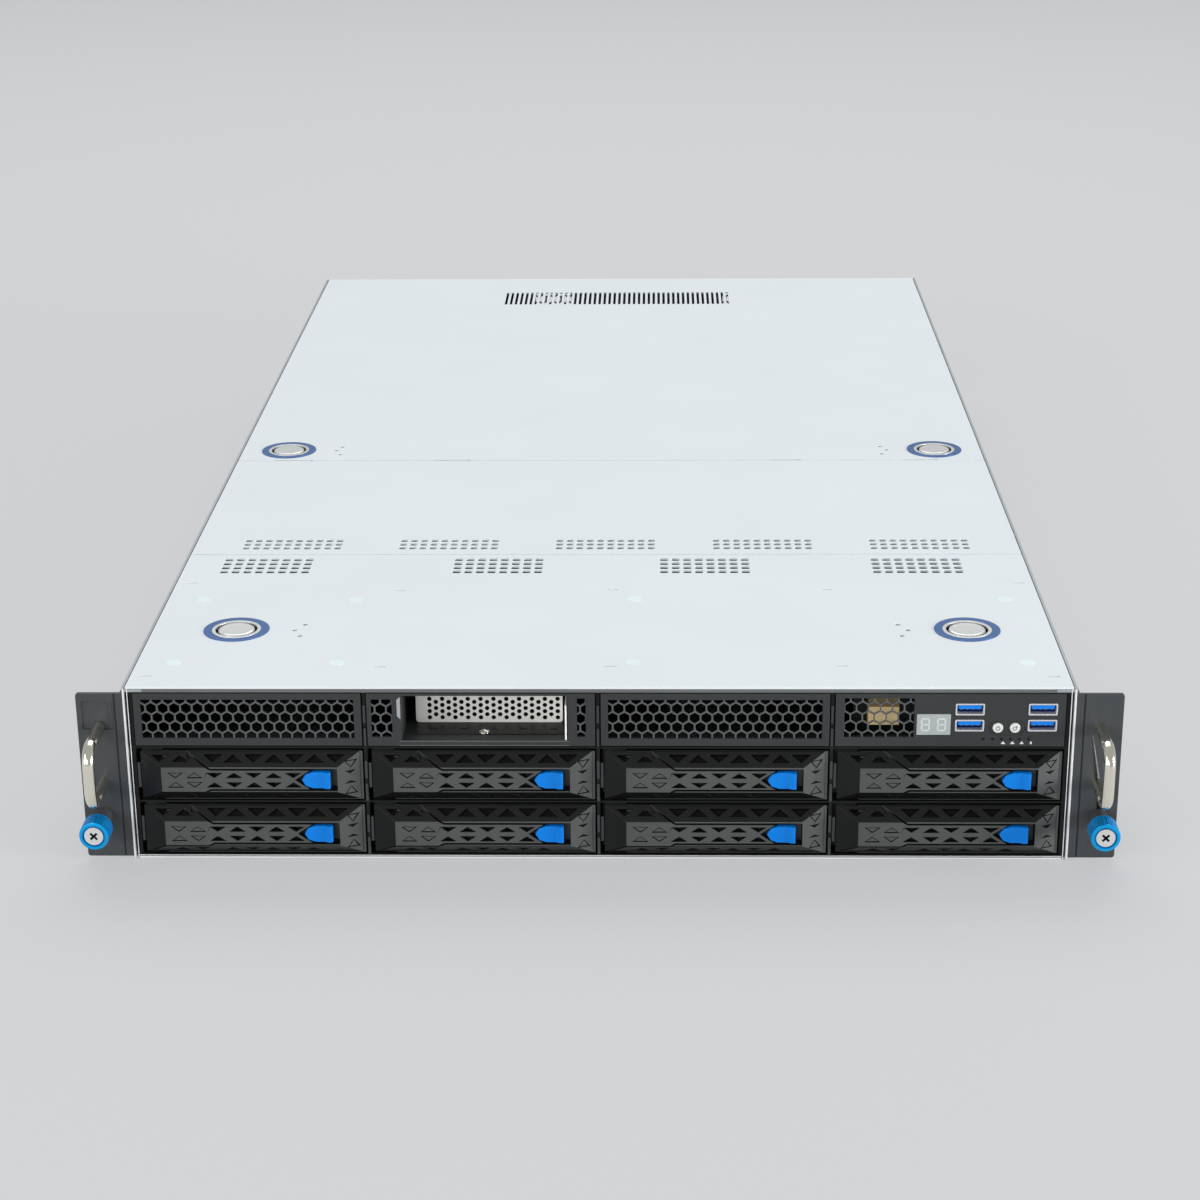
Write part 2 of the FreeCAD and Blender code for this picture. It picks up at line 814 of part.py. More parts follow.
def panel_button(column):
    """A round button with a square flange that keeps it behind the bezel."""
    seat = module_plate - module_proud + button_clearance
    front = -module_proud - button_proud
    cap = plate(regular((column, button_height), button_radius, button_sides), [], facing(front), seat - front)
    flange = 2 * (button_radius + button_flange)
    back = block(around(column, flange), (seat, seat + button_flange_thickness),
                 around(button_height, flange))
    return joined([cap, back])


def front_io_board():
    """The control board with its two switches, and the stack of capacitors beside the display."""
    front = panel_board_front()
    up = (module_low + slide_gap, module_high - slide_gap)
    switch_face = module_plate - module_proud + button_clearance + button_flange_thickness
    switch_face += button_travel + slide_gap
    pieces = [block((panel_board_left, panel_board_right), (front, front + board), up)]
    for column in (power_x, locate_x):
        pieces.append(block(around(column, switch_size), (switch_face, front),
                            around(button_height, switch_size)))
    capacitors = block((capacitor_left, capacitor_left + capacitor_width),
                       (front - capacitor_length, front), (capacitor_low, capacitor_high))
    return [joined(pieces), capacitors]


# Covers

def cover(front, rear, vents, buttons):
    """A flat steel cover with vents, and a drawn cup for each of its buttons."""
    rims = [regular(centre, cup_radius, cup_sides) for centre in buttons]
    pieces = [plate(rectangle((-cover_half, cover_half), (front, rear)), vents + rims,
                    lying(cover_under), sheet)]
    low = cover_under - cup_depth
    for centre, rim in zip(buttons, rims):
        wall = regular(centre, cup_radius + cup_wall, cup_sides)
        half = stem_half + stem_gap
        stem = rectangle((centre[0] - half, centre[0] + half), (centre[1] - half, centre[1] + half))
        pieces.append(plate(wall, [rim], lying(low), cup_depth + sheet))
        pieces.append(plate(wall, [stem], lying(low - sheet), sheet))
    return joined(pieces)


def slots(places, length, start, pitch, width, count):
    """Groups of long slots across a cover, at places given in column pitches."""
    shapes = []
    for place in places:
        for row in range(count):
            shapes.append(rectangle(around(place * column_pitch, length), around(start + row * pitch, width)))
    return shapes


def front_cover():
    """The cover over the drive cage."""
    vents = slots(vent_places_front, vent_length_front, vent_start_front, vent_pitch_front,
                  vent_slot, front_vent_count)
    buttons = [(side * front_button[0], front_button[1]) for side in (-1, 1)]
    return cover(0, front_seam - seam_gap / 2, vents, buttons)


def middle_cover():
    """The fixed cover over the fans."""
    vents = slots(vent_places_middle, vent_length_middle, vent_start_middle, vent_pitch_middle,
                  vent_slot_middle, middle_vent_count)
    fixed = cover(front_seam + seam_gap / 2, rear_seam - seam_gap / 2, vents, [])
    spacers = []
    for side in (-1, 1):
        across = sorted((side * cover_half, side * (cover_half - spacer_width)))
        spacers.append(block(across, (front_seam + brace_width, rear_seam - brace_width),
                             (ledge_top, cover_under)))
    return joined([fixed] + spacers)


def rear_cover():
    """The cover over the mainboard, with louvres near the rear."""
    left = -(louvre_count - 1) * louvre_pitch / 2
    vents = [
        rectangle(around(left + index * louvre_pitch, louvre_width), (louvre_front, louvre_rear))
        for index in range(louvre_count)
    ]
    buttons = [(side * rear_button[0], rear_button[1]) for side in (-1, 1)]
    return cover(rear_seam + seam_gap / 2, chassis_depth, vents, buttons)


def cover_button(centre):
    """A round cap in the cover's cup, on a square stem with a foot under the cup."""
    cap_low = chassis_height + cap_proud - cap_height
    cap = plate(regular(centre, cap_radius, cup_sides), [], lying(cap_low), cap_height)
    stem_low = cover_under - cup_depth - sheet - stem_gap
    stem = block(around(centre[0], 2 * stem_half), around(centre[1], 2 * stem_half), (stem_low, cap_low))
    foot_half = stem_half + 2 * stem_gap + cup_wall
    foot = block(around(centre[0], 2 * foot_half), around(centre[1], 2 * foot_half),
                 (stem_low - sheet, stem_low))
    return joined([cap, stem, foot])


# Cooling

def fan_frame(column):
    """A fan's square housing with the motor's base on four struts."""
    middle = column * column_pitch
    centre = (middle, floor_top + fan_size / 2)
    square = rectangle(around(middle, fan_size), (floor_top, floor_top + fan_size))
    housing = plate(square, [regular(centre, fan_bore, fan_bore_sides)], facing(fan_start), fan_depth)
    rear = facing(fan_start + fan_depth - fan_base_depth)
    base = plate(regular(centre, fan_base, hub_sides), [], rear, fan_base_depth)
    depth = (fan_start + fan_depth - fan_base_depth, fan_start + fan_depth)
    level = block(around(middle, 2 * fan_bore), depth, around(centre[1], fan_strut))
    upright = block(around(middle, fan_strut), depth, around(centre[1], 2 * fan_bore))
    return joined([housing, base, level, upright])


def fan_rotor(column):
    """A hub with pitched blades, running just ahead of the motor's base."""
    middle = column * column_pitch
    up = floor_top + fan_size / 2
    rear = fan_start + fan_depth - fan_base_depth - turn_gap
    hub = plate(regular((middle, up), hub_radius, hub_sides), [], facing(rear - hub_depth), hub_depth)
    axis = FreeCAD.Vector(middle, rear - hub_depth / 2, up)
    pieces = [hub]
    for index in range(blade_count):
        blade = block(around(0, blade_chord), around(0, blade_thickness), (hub_radius / 2, blade_tip))
        blade.rotate(FreeCAD.Vector(0, 0, 0), FreeCAD.Vector(0, 0, 1), blade_pitch)
        blade.rotate(FreeCAD.Vector(0, 0, 0), FreeCAD.Vector(0, 1, 0), 360.0 * index / blade_count)
        blade.translate(axis)
        pieces.append(blade)
    return joined(pieces)


# Mainboard

def mainboard():
    """The board on its standoffs, with processor sockets, memory slots and modules."""
    low = floor_top + standoff
    top = low + board
    pieces = [block((mainboard_left, mainboard_right), (mainboard_start, mainboard_end), (low, top))]
    inset = 2 * standoff_side
    for across in (mainboard_left + inset, mainboard_right - inset):
        for deep in (mainboard_start + inset, mainboard_end - inset):
            pieces.append(block(around(across, standoff_side), around(deep, standoff_side), (floor_top, low)))
    for centre in socket_centres:
        deep = (socket_start, socket_start + fin_depth)
        pieces.append(block(around(centre, socket_size), deep, (top, top + socket_rise)))
        for side in (-1, 1):
            for index in range(memory_count):
                across = centre + side * (socket_size / 2 + memory_pitch * (index + 0.5))
                run = around(socket_start + fin_depth / 2, memory_length)
                if mainboard_left < across - memory_width and across + memory_width < mainboard_right:
                    pieces.append(block(around(across, memory_width), run, (top, top + memory_height)))
    return joined(pieces)


def heatsink(centre):
    """A finned heatsink: one comb profile run through."""
    low = floor_top + standoff + board + socket_rise
    pitch = (socket_size - fin_thickness) / (fin_count - 1)
    left = centre - socket_size / 2
    points = [(left, low)]
    for index in range(fin_count - 1, -1, -1):
        fin = left + index * pitch
        points += [(fin + fin_thickness, low + fin_height), (fin, low + fin_height)]
        if index == fin_count - 1:
            points.insert(1, (fin + fin_thickness, low))
        if index:
            points += [(fin, low + fin_base), (fin - pitch + fin_thickness, low + fin_base)]
    comb = Part.Face(loop(points, facing(socket_start)))
    return comb.extrude(FreeCAD.Vector(0, fin_depth, 0))


# Rear wall

def supply_floor(index):
    """Height of a power supply's underside."""
    return floor_top + supply_gap + index * (supply_height + bay_shelf + 2 * supply_gap)


def rear_panel():
    """The rear wall with its openings, and the shelf between the power supplies."""
    low = floor_top
    high = ledge_top - sheet
    openings = []
    for index in range(2):
        floor = supply_floor(index)
        openings.append(rectangle((supply_left - supply_gap, supply_left + supply_width + supply_gap),
                                  (floor - supply_gap / 2, floor + supply_height + supply_gap / 2)))
    port_floor = floor_top + standoff + board
    for centre in port_centres:
        openings.append(rectangle(around(centre, port_width + 2 * port_edge),
                                  (port_floor, port_floor + port_height + port_edge)))
    blanks = []
    for row in range(expansion_count):
        for centre in socket_centres:
            up = expansion_low + row * expansion_pitch
            openings.append(rectangle(around(centre, expansion_width), around(up, expansion_height)))
            blanks.append(block(around(centre, expansion_width + 2 * expansion_lap),
                                (chassis_depth - 2 * sheet, chassis_depth - sheet),
                                around(up, expansion_height + 2 * expansion_lap)))
    wall = plate(rectangle((-inner_half, inner_half), (low, high)), openings,
                 facing(chassis_depth - sheet), sheet)
    shelf_low = supply_floor(0) + supply_height + supply_gap
    shelf_plate = block((supply_left, inner_half), (chassis_depth - supply_length, chassis_depth),
                        (shelf_low, shelf_low + bay_shelf))
    partition = block((supply_left - supply_gap - sheet, supply_left - supply_gap),
                      (chassis_depth - supply_length, chassis_depth), (floor_top, high))
    link = block((supply_left - supply_gap - sheet, supply_left), (chassis_depth - supply_length,
                 chassis_depth), (shelf_low, shelf_low + bay_shelf))
    return joined([wall, shelf_plate, partition, link] + blanks)


def power_supply(index):
    """A slide-in supply: case, inlet recess, pocket for the latch and a loop handle."""
    floor = supply_floor(index)
    rear = chassis_depth + supply_proud
    front = rear - supply_length
    case = block((supply_left, supply_left + supply_width), (front, rear), (floor, floor + supply_height))
    inlet_x = supply_left + inlet_left
    inlet = block((inlet_x, inlet_x + inlet_width), (rear - inlet_depth, rear + 1),
                  (floor + inlet_low, floor + inlet_low + inlet_height))
    pocket = block((supply_left + tab_left - tab_travel - slide_gap,
                    supply_left + tab_left + tab_width + slide_gap),
                   (rear - tab_pocket, rear + 1), (floor + tab_low - slide_gap, floor + tab_high + slide_gap))
    case = case.cut(Part.makeCompound([inlet, pocket]))
    reach = chassis_depth + supply_reach
    across = around(supply_left + grip_x, grip_width)
    up = (floor + grip_low, floor + grip_high)
    loop_outer = block(across, (rear, reach), up)
    loop_inner = block((across[0] - 1, across[1] + 1), (rear - 1, reach - grip_width),
                       (up[0] + grip_width, up[1] - grip_width))
    return joined([case, loop_outer.cut(loop_inner)])


def supply_latch(index):
    """The tab that frees a power supply, sliding in its pocket."""
    floor = supply_floor(index)
    rear = chassis_depth + supply_proud
    return block((supply_left + tab_left, supply_left + tab_left + tab_width),
                 (rear - tab_pocket + slide_gap, rear + tab_reach), (floor + tab_low, floor + tab_high))


def rear_ports():
    """Two network sockets on the mainboard's rear edge."""
    floor = floor_top + standoff + board
    solids = []
    for centre in port_centres:
        body = block(around(centre, port_width), (chassis_depth - port_length, chassis_depth),
                     (floor, floor + port_height))
        mouth = block(around(centre, port_mouth_width), (chassis_depth - port_mouth_depth, chassis_depth + 1),
                      around(floor + port_height / 2, port_mouth_height))
        solids.append(body.cut(mouth))
    return solids


def place(node, solids):
    """Moves a node's solids to the part's origin and writes them."""
    shape = solids[0] if len(solids) == 1 else Part.makeCompound(solids)
    shape.translate(FreeCAD.Vector(0, front_y, 0))
    shape.exportStep("parts/" + node + ".step")


def main():
    os.makedirs("parts", exist_ok=True)
    place("chassis_tray", [chassis_tray()])
    place("rear_panel", [rear_panel()])
    place("rack_ears", rack_ears())
    place("rack_handles", rack_handles())
    place("left_thumbscrew", [thumbscrew(-1)])
    place("right_thumbscrew", [thumbscrew(1)])
    place("drive_cage", [drive_cage()])
    place("drive_backplane", [drive_backplane()])
    bays = [(column, row) for row in reversed(rows) for column in columns]
    for number, (column, row) in enumerate(bays, 1):
        place("drive_tray_%d" % number, drive_tray(column, row))
        place("tray_lever_%d" % number, [tray_lever(column, row)])
        place("tray_latch_%d" % number, [tray_latch(column, row)])
    place("vent_bezels", [vent_bezel(columns[0]), vent_bezel(columns[2])])
    place("slot_bezel", [slot_bezel()])
    place("slot_bracket", [slot_bracket()])
    place("control_bezel", [control_bezel()])
    place("code_display", [code_display()])
    place("usb_ports", usb_ports())
    place("power_button", [panel_button(power_x)])
    place("locate_button", [panel_button(locate_x)])
    place("front_io_board", front_io_board())
    place("front_cover", [front_cover()])
    place("middle_cover", [middle_cover()])
    place("rear_cover", [rear_cover()])
    for name, centre in (("front", front_button), ("rear", rear_button)):
        place(name + "_left_button", [cover_button((-centre[0], centre[1]))])
        place(name + "_right_button", [cover_button(centre)])
    place("fan_frames", [fan_frame(column) for column in columns])
    for number, column in enumerate(columns, 1):
        place("fan_rotor_%d" % number, [fan_rotor(column)])
    place("mainboard", [mainboard()])
    place("heatsinks", [heatsink(centre) for centre in socket_centres])
    for index in range(2):
        place("power_supply_%d" % (index + 1), [power_supply(index)])
        place("supply_latch_%d" % (index + 1), [supply_latch(index)])
    place("rear_ports", rear_ports())


main()
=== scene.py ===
import bmesh
import bpy
import json
import math
from mathutils import Euler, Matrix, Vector

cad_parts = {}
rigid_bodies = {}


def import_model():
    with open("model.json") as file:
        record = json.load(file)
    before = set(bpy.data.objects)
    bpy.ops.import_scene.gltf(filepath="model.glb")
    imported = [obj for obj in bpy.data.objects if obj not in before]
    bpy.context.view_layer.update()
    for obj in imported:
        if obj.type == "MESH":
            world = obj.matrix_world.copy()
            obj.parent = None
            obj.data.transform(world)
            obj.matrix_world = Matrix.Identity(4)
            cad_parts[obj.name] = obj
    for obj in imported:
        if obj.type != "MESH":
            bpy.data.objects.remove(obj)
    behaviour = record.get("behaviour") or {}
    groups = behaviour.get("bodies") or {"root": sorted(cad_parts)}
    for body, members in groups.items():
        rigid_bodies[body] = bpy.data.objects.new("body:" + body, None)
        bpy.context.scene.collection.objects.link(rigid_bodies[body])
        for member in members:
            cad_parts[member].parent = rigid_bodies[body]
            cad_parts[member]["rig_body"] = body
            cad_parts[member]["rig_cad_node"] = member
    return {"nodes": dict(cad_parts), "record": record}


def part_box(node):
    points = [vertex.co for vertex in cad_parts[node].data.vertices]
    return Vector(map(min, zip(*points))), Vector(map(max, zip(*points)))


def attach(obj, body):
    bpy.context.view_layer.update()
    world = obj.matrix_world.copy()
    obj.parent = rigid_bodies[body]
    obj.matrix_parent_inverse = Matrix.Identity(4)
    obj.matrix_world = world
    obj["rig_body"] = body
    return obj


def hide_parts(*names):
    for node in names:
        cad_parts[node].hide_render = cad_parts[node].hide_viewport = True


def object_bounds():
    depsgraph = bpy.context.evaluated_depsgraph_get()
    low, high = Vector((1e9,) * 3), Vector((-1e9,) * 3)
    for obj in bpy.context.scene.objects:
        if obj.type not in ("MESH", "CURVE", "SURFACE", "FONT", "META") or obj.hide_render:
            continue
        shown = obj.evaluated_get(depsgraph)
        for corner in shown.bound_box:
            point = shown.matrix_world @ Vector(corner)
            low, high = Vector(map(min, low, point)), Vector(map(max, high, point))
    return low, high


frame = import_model()
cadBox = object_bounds()
record = frame["record"]
mm = 0.001                                     # sizes in the dictionaries are millimetres
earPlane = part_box("chassis_tray")[0].y         # depths are counted from the rack ears' plane
print("frame loaded:", len(frame["nodes"]), "nodes")


# ---- places and boxes

def at(x, y, z):
    return Vector((x * mm, y * mm + earPlane, z * mm))


def boxOf(node):          # a CAD node's corners in millimetres, with depth from the ear plane
    low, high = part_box(node)
    shift = Vector((0, earPlane, 0))
    return (low - shift) / mm, (high - shift) / mm


def span(middle, width):
    return (middle - width / 2, middle + width / 2)


# ---- starting and finishing a piece

def deselectAll():
    if bpy.context.object and bpy.context.object.mode != "OBJECT":
        bpy.ops.object.mode_set(mode="OBJECT")
    bpy.ops.object.select_all(action="DESELECT")


def activate(piece):
    deselectAll()
    piece.select_set(True)
    bpy.context.view_layer.objects.active = piece


def rename(piece, name):
    piece.name = name
    piece.data.name = name
    return piece


def settle(name):         # names the new primitive and puts its place into its mesh
    piece = rename(bpy.context.object, name)
    bpy.ops.object.transform_apply(location=True, rotation=True, scale=True)
    return piece


def block(name, x, y, z):
    deselectAll()
    middle = at((x[0] + x[1]) / 2, (y[0] + y[1]) / 2, (z[0] + z[1]) / 2)
    size = ((x[1] - x[0]) * mm, (y[1] - y[0]) * mm, (z[1] - z[0]) * mm)
    bpy.ops.mesh.primitive_cube_add(size=1, location=middle, scale=size)
    return settle(name)


def pill(name, x, y, z, corner):      # a block whose corners are rounded as seen from the front
    piece = block(name, x, y, z)
    return bevelEdges(piece, corner, 6, lambda a, b: abs(a.y - b.y) > 0.01 * mm)


def rod(name, middle, radius, length, axis, sides):
    deselectAll()
    turns = {"Y": (math.pi / 2, 0, 0), "Z": (0, 0, 0)}[axis]
    bpy.ops.mesh.primitive_cylinder_add(vertices=sides, radius=radius * mm, depth=length * mm,
                                        location=at(*middle), rotation=turns)
    return settle(name)


def openEdit(piece, kind):       # edit mode, with nothing selected
    activate(piece)
    bpy.ops.object.mode_set(mode="EDIT")
    bpy.ops.mesh.select_mode(type=kind)
    bpy.ops.mesh.select_all(action="DESELECT")
    return bmesh.from_edit_mesh(piece.data)


def openFaces(piece, test):      # edit mode, with the faces that test() picks
    for face in openEdit(piece, "FACE").faces:
        if test(face):
            face.select_set(True)
    bmesh.update_edit_mesh(piece.data)


def openEdges(piece, test):      # edit mode, with the edges that test(start, end) picks
    for edge in openEdit(piece, "EDGE").edges:
        if test(edge.verts[0].co, edge.verts[1].co):
            edge.select_set(True)
    bmesh.update_edit_mesh(piece.data)


def openCorners(piece, test):    # edit mode, with the corners that test(place) picks
    for vertex in openEdit(piece, "VERT").verts:
        if test(vertex.co):
            vertex.select_set(True)
    bmesh.update_edit_mesh(piece.data)


def closeEdit():
    bpy.ops.object.mode_set(mode="OBJECT")


def bevelEdges(piece, width, segments, test):
    openEdges(piece, test)
    bpy.ops.mesh.bevel(offset=width * mm, segments=segments)
    closeEdit()
    return piece


def bevelFaces(piece, width, segments, test):
    openFaces(piece, test)
    bpy.ops.mesh.bevel(offset=width * mm, segments=segments)
    closeEdit()
    return piece


def insetFaces(piece, test, *steps):      # each step is a rim's width, and how deep its inside sinks
    openFaces(piece, test)
    for width, depth in steps:
        bpy.ops.mesh.inset(thickness=width * mm, depth=-depth * mm)
    closeEdit()
    return piece


def facesUp(face):
    return face.normal.z > 0.9


def facesFront(face):
    return face.normal.y < -0.9


def applyModifier(piece, kind, **settings):
    activate(piece)
    bpy.ops.object.modifier_add(type=kind)
    modifier = piece.modifiers[-1]
    for key, value in settings.items():
        setattr(modifier, key, value)
    bpy.ops.object.modifier_apply(modifier=modifier.name)
    return piece


def repeat(piece, step, count):
    return applyModifier(piece, "ARRAY", use_relative_offset=False, use_constant_offset=True,
                         constant_offset_displace=Vector(step) * mm, count=count)


def soften(piece, width, segments=2, angle=30):      # small rounded edges
    applyModifier(piece, "BEVEL", width=width * mm, segments=segments, limit_method="ANGLE",
                  angle_limit=math.radians(angle), use_clamp_overlap=False, miter_outer="MITER_ARC",
                  harden_normals=False)
    return smooth(piece)


def smooth(piece, angle=35):          # rounded edges, with the large faces kept flat
    activate(piece)
    bpy.ops.object.shade_smooth_by_angle(angle=math.radians(angle))
    return applyModifier(piece, "WEIGHTED_NORMAL", mode="FACE_AREA", weight=60, keep_sharp=True)


def joined(name, pieces):
    deselectAll()
    for piece in pieces:
        piece.select_set(True)
    bpy.context.view_layer.objects.active = pieces[0]
    if len(pieces) > 1:
        bpy.ops.object.join()
    return rename(pieces[0], name)


def cut(piece, cutters, inside=None):      # inside is the finish that the cut faces take
    cutter = joined("cutter", cutters)
    if inside:
        wear(cutter, inside)
    applyModifier(piece, "BOOLEAN", operation="DIFFERENCE", object=cutter, solver="EXACT",
                  material_mode="TRANSFER" if inside else "INDEX")
    bpy.data.objects.remove(cutter)
    return piece


def weld(piece, flatness):            # merges doubles, and clears the flat faces' inner edges unless flatness is None
    openFaces(piece, lambda face: True)
    bpy.ops.mesh.remove_doubles(threshold=0.004 * mm)
    if flatness:
        bpy.ops.mesh.dissolve_limited(angle_limit=math.radians(flatness))
    closeEdit()
    return piece


def nodeCopy(node, name, flatness=1.0):       # a clean copy of a CAD node's mesh, to add detail to
    activate(frame["nodes"][node])
    bpy.ops.object.duplicate(linked=False)
    piece = bpy.context.object
    piece.parent = None
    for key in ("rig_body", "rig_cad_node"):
        del piece[key]
    rename(piece, name)
    piece.data.materials.clear()
    return weld(piece, flatness)


def looseParts(piece):                # splits a mesh into its separate solids
    openFaces(piece, lambda face: True)
    bpy.ops.mesh.separate(type="LOOSE")
    closeEdit()
    return list(bpy.context.selected_objects)


def copyTo(piece, name, shift):       # a moved copy with its own mesh, which wears the same materials
    activate(piece)
    bpy.ops.object.duplicate(linked=False)
    other = rename(bpy.context.object, name)
    other.parent = None
    other.location = Vector(shift) * mm
    bpy.ops.object.transform_apply(location=True, rotation=False, scale=False)
    return other


def wear(piece, finish):
    piece.data.materials.clear()
    piece.data.materials.append(materials[finish])
    return piece


def paint(piece, finish, test):       # a second finish for the faces that test() picks
    activate(piece)
    bpy.ops.object.material_slot_add()
    piece.material_slots[-1].material = materials[finish]
    openFaces(piece, test)
    piece.active_material_index = len(piece.material_slots) - 1
    bpy.ops.object.material_slot_assign()
    closeEdit()
    return piece


def fit(piece, body, slot, *nodes):   # rides on its body, and stands for these CAD nodes
    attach(piece, body)
    if nodes:
        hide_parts(*nodes)
    return piece


def dress(piece, finish, body, slot, *nodes):
    return fit(wear(piece, finish), body, slot, *nodes)


# ---- effects that several materials share

def newGroup(name, inputs, outputs):
    group = bpy.data.node_groups.new(name, "ShaderNodeTree")
    for label, kind, value in inputs:
        socket = group.interface.new_socket(name=label, in_out="INPUT", socket_type=kind)
        socket.default_value = value
    for label, kind in outputs:
        group.interface.new_socket(name=label, in_out="OUTPUT", socket_type=kind)
    return group, group.nodes.new("NodeGroupInput"), group.nodes.new("NodeGroupOutput")


def number(tree, operation, first, second):       # a Math node between sockets or plain numbers
    node = tree.nodes.new("ShaderNodeMath")
    node.operation = operation
    for socket, value in zip(node.inputs, (first, second)):
        if isinstance(value, (int, float)):
            socket.default_value = value
        else:
            tree.links.new(value, socket)
    return node.outputs[0]


def makeGrain():                      # fine even texture, with a slow drift in tone
    group, source, target = newGroup(
        "surfaceGrain",
        [("Scale", "NodeSocketFloat", 900.0), ("Drift Scale", "NodeSocketFloat", 14.0)],
        [("Height", "NodeSocketFloat"), ("Drift", "NodeSocketFloat")])
    place = group.nodes.new("ShaderNodeTexCoord")
    fine = group.nodes.new("ShaderNodeTexNoise")
    slow = group.nodes.new("ShaderNodeTexNoise")
    fine.inputs["Detail"].default_value = 3.0
    slow.inputs["Detail"].default_value = 4.0
    for noise, label in ((fine, "Scale"), (slow, "Drift Scale")):
        group.links.new(place.outputs["Object"], noise.inputs["Vector"])
        group.links.new(source.outputs[label], noise.inputs["Scale"])
    group.links.new(fine.outputs["Fac"], target.inputs["Height"])
    group.links.new(slow.outputs["Fac"], target.inputs["Drift"])
    return group


def makeBrushed():                    # fine lines, drawn out by the stretch of the coordinates
    group, source, target = newGroup(
        "brushedLines",
        [("Stretch", "NodeSocketVector", (40.0, 2500.0, 40.0))],
        [("Lines", "NodeSocketFloat")])
    place = group.nodes.new("ShaderNodeTexCoord")
    stretch = group.nodes.new("ShaderNodeVectorMath")
    stretch.operation = "MULTIPLY"
    lines = group.nodes.new("ShaderNodeTexNoise")
    lines.inputs["Scale"].default_value = 1.0
    lines.inputs["Detail"].default_value = 2.0
    group.links.new(place.outputs["Object"], stretch.inputs[0])
    group.links.new(source.outputs["Stretch"], stretch.inputs[1])
    group.links.new(stretch.outputs["Vector"], lines.inputs["Vector"])
    group.links.new(lines.outputs["Fac"], target.inputs["Lines"])
    return group


def makeDust():                       # a little pale dust where a surface looks up
    group, source, target = newGroup(
        "dustOnTop",
        [("Color", "NodeSocketColor", (0.5, 0.5, 0.5, 1)),
         ("Dust", "NodeSocketColor", (0.5, 0.49, 0.47, 1)),
         ("Amount", "NodeSocketFloat", 0.1)],
        [("Color", "NodeSocketColor")])
    geometry = group.nodes.new("ShaderNodeNewGeometry")
    place = group.nodes.new("ShaderNodeTexCoord")
    split = group.nodes.new("ShaderNodeSeparateXYZ")
    patches = group.nodes.new("ShaderNodeTexNoise")
    patches.inputs["Scale"].default_value = 60.0
    patches.inputs["Detail"].default_value = 6.0
    blend = group.nodes.new("ShaderNodeMix")
    blend.data_type = "RGBA"
    group.links.new(geometry.outputs["Normal"], split.inputs[0])
    group.links.new(place.outputs["Object"], patches.inputs["Vector"])
    up = number(group, "MAXIMUM", split.outputs["Z"], 0.0)
    mask = number(group, "MULTIPLY", up, patches.outputs["Fac"])
    group.links.new(number(group, "MULTIPLY", mask, source.outputs["Amount"]), blend.inputs[0])
    group.links.new(source.outputs["Color"], blend.inputs[6])      # 6 and 7 are the mix's two colours
    group.links.new(source.outputs["Dust"], blend.inputs[7])
    group.links.new(blend.outputs[2], target.inputs["Color"])      # and 2 is what they give
    return group


grainGroup, brushedGroup, dustGroup = makeGrain(), makeBrushed(), makeDust()


def linear(color):                    # the shader's value of a colour written as 0 to 255
    return tuple((c / 255 / 12.92) if c <= 10 else ((c / 255 + 0.055) / 1.055) ** 2.4 for c in color) + (1.0,)


shaderValues = {"grainShare": 0.4, "toneRange": (0.3, 0.7), "bumpDistance": 0.0002}


def makeMaterial(name, color, roughness, grain, bump, drift, metallic=0.0, stretch=None, dust=0.0, coat=0.0,
                 roughDrift=0.08, gloss=0.5):
    material = bpy.data.materials.new(name)
    material.use_nodes = True
    tree = material.node_tree
    shader = tree.nodes["Principled BSDF"]
    shader.inputs["Metallic"].default_value = metallic
    shader.inputs["Coat Weight"].default_value = coat
    shader.inputs["Specular IOR Level"].default_value = gloss
    grainNode = tree.nodes.new("ShaderNodeGroup")
    grainNode.node_tree = grainGroup
    grainNode.inputs["Scale"].default_value = grain
    height = grainNode.outputs["Height"]
    if stretch:
        brushed = tree.nodes.new("ShaderNodeGroup")
        brushed.node_tree = brushedGroup
        brushed.inputs["Stretch"].default_value = stretch
        fine = number(tree, "MULTIPLY", height, shaderValues["grainShare"])
        height = number(tree, "ADD", fine, brushed.outputs["Lines"])
    tone = tree.nodes.new("ShaderNodeValToRGB")       # the slow drift turns into lighter and darker tones
    base = linear(color)
    darker, lighter = tone.color_ramp.elements
    darker.position, lighter.position = shaderValues["toneRange"]
    darker.color = tuple(c * (1 - drift) for c in base[:3]) + (1.0,)
    lighter.color = tuple(min(1.0, c * (1 + drift)) for c in base[:3]) + (1.0,)
    tree.links.new(grainNode.outputs["Drift"], tone.inputs["Fac"])
    result = tone.outputs["Color"]
    if dust:
        dustNode = tree.nodes.new("ShaderNodeGroup")
        dustNode.node_tree = dustGroup
        dustNode.inputs["Amount"].default_value = dust
        tree.links.new(result, dustNode.inputs["Color"])
        result = dustNode.outputs["Color"]
    tree.links.new(result, shader.inputs["Base Color"])
    rough = number(tree, "ADD", number(tree, "MULTIPLY", height, roughDrift), roughness - roughDrift / 2)
    tree.links.new(rough, shader.inputs["Roughness"])
    bumpNode = tree.nodes.new("ShaderNodeBump")
    bumpNode.inputs["Strength"].default_value = bump
    bumpNode.inputs["Distance"].default_value = shaderValues["bumpDistance"]
    tree.links.new(height, bumpNode.inputs["Height"])
    tree.links.new(bumpNode.outputs["Normal"], shader.inputs["Normal"])
    return material


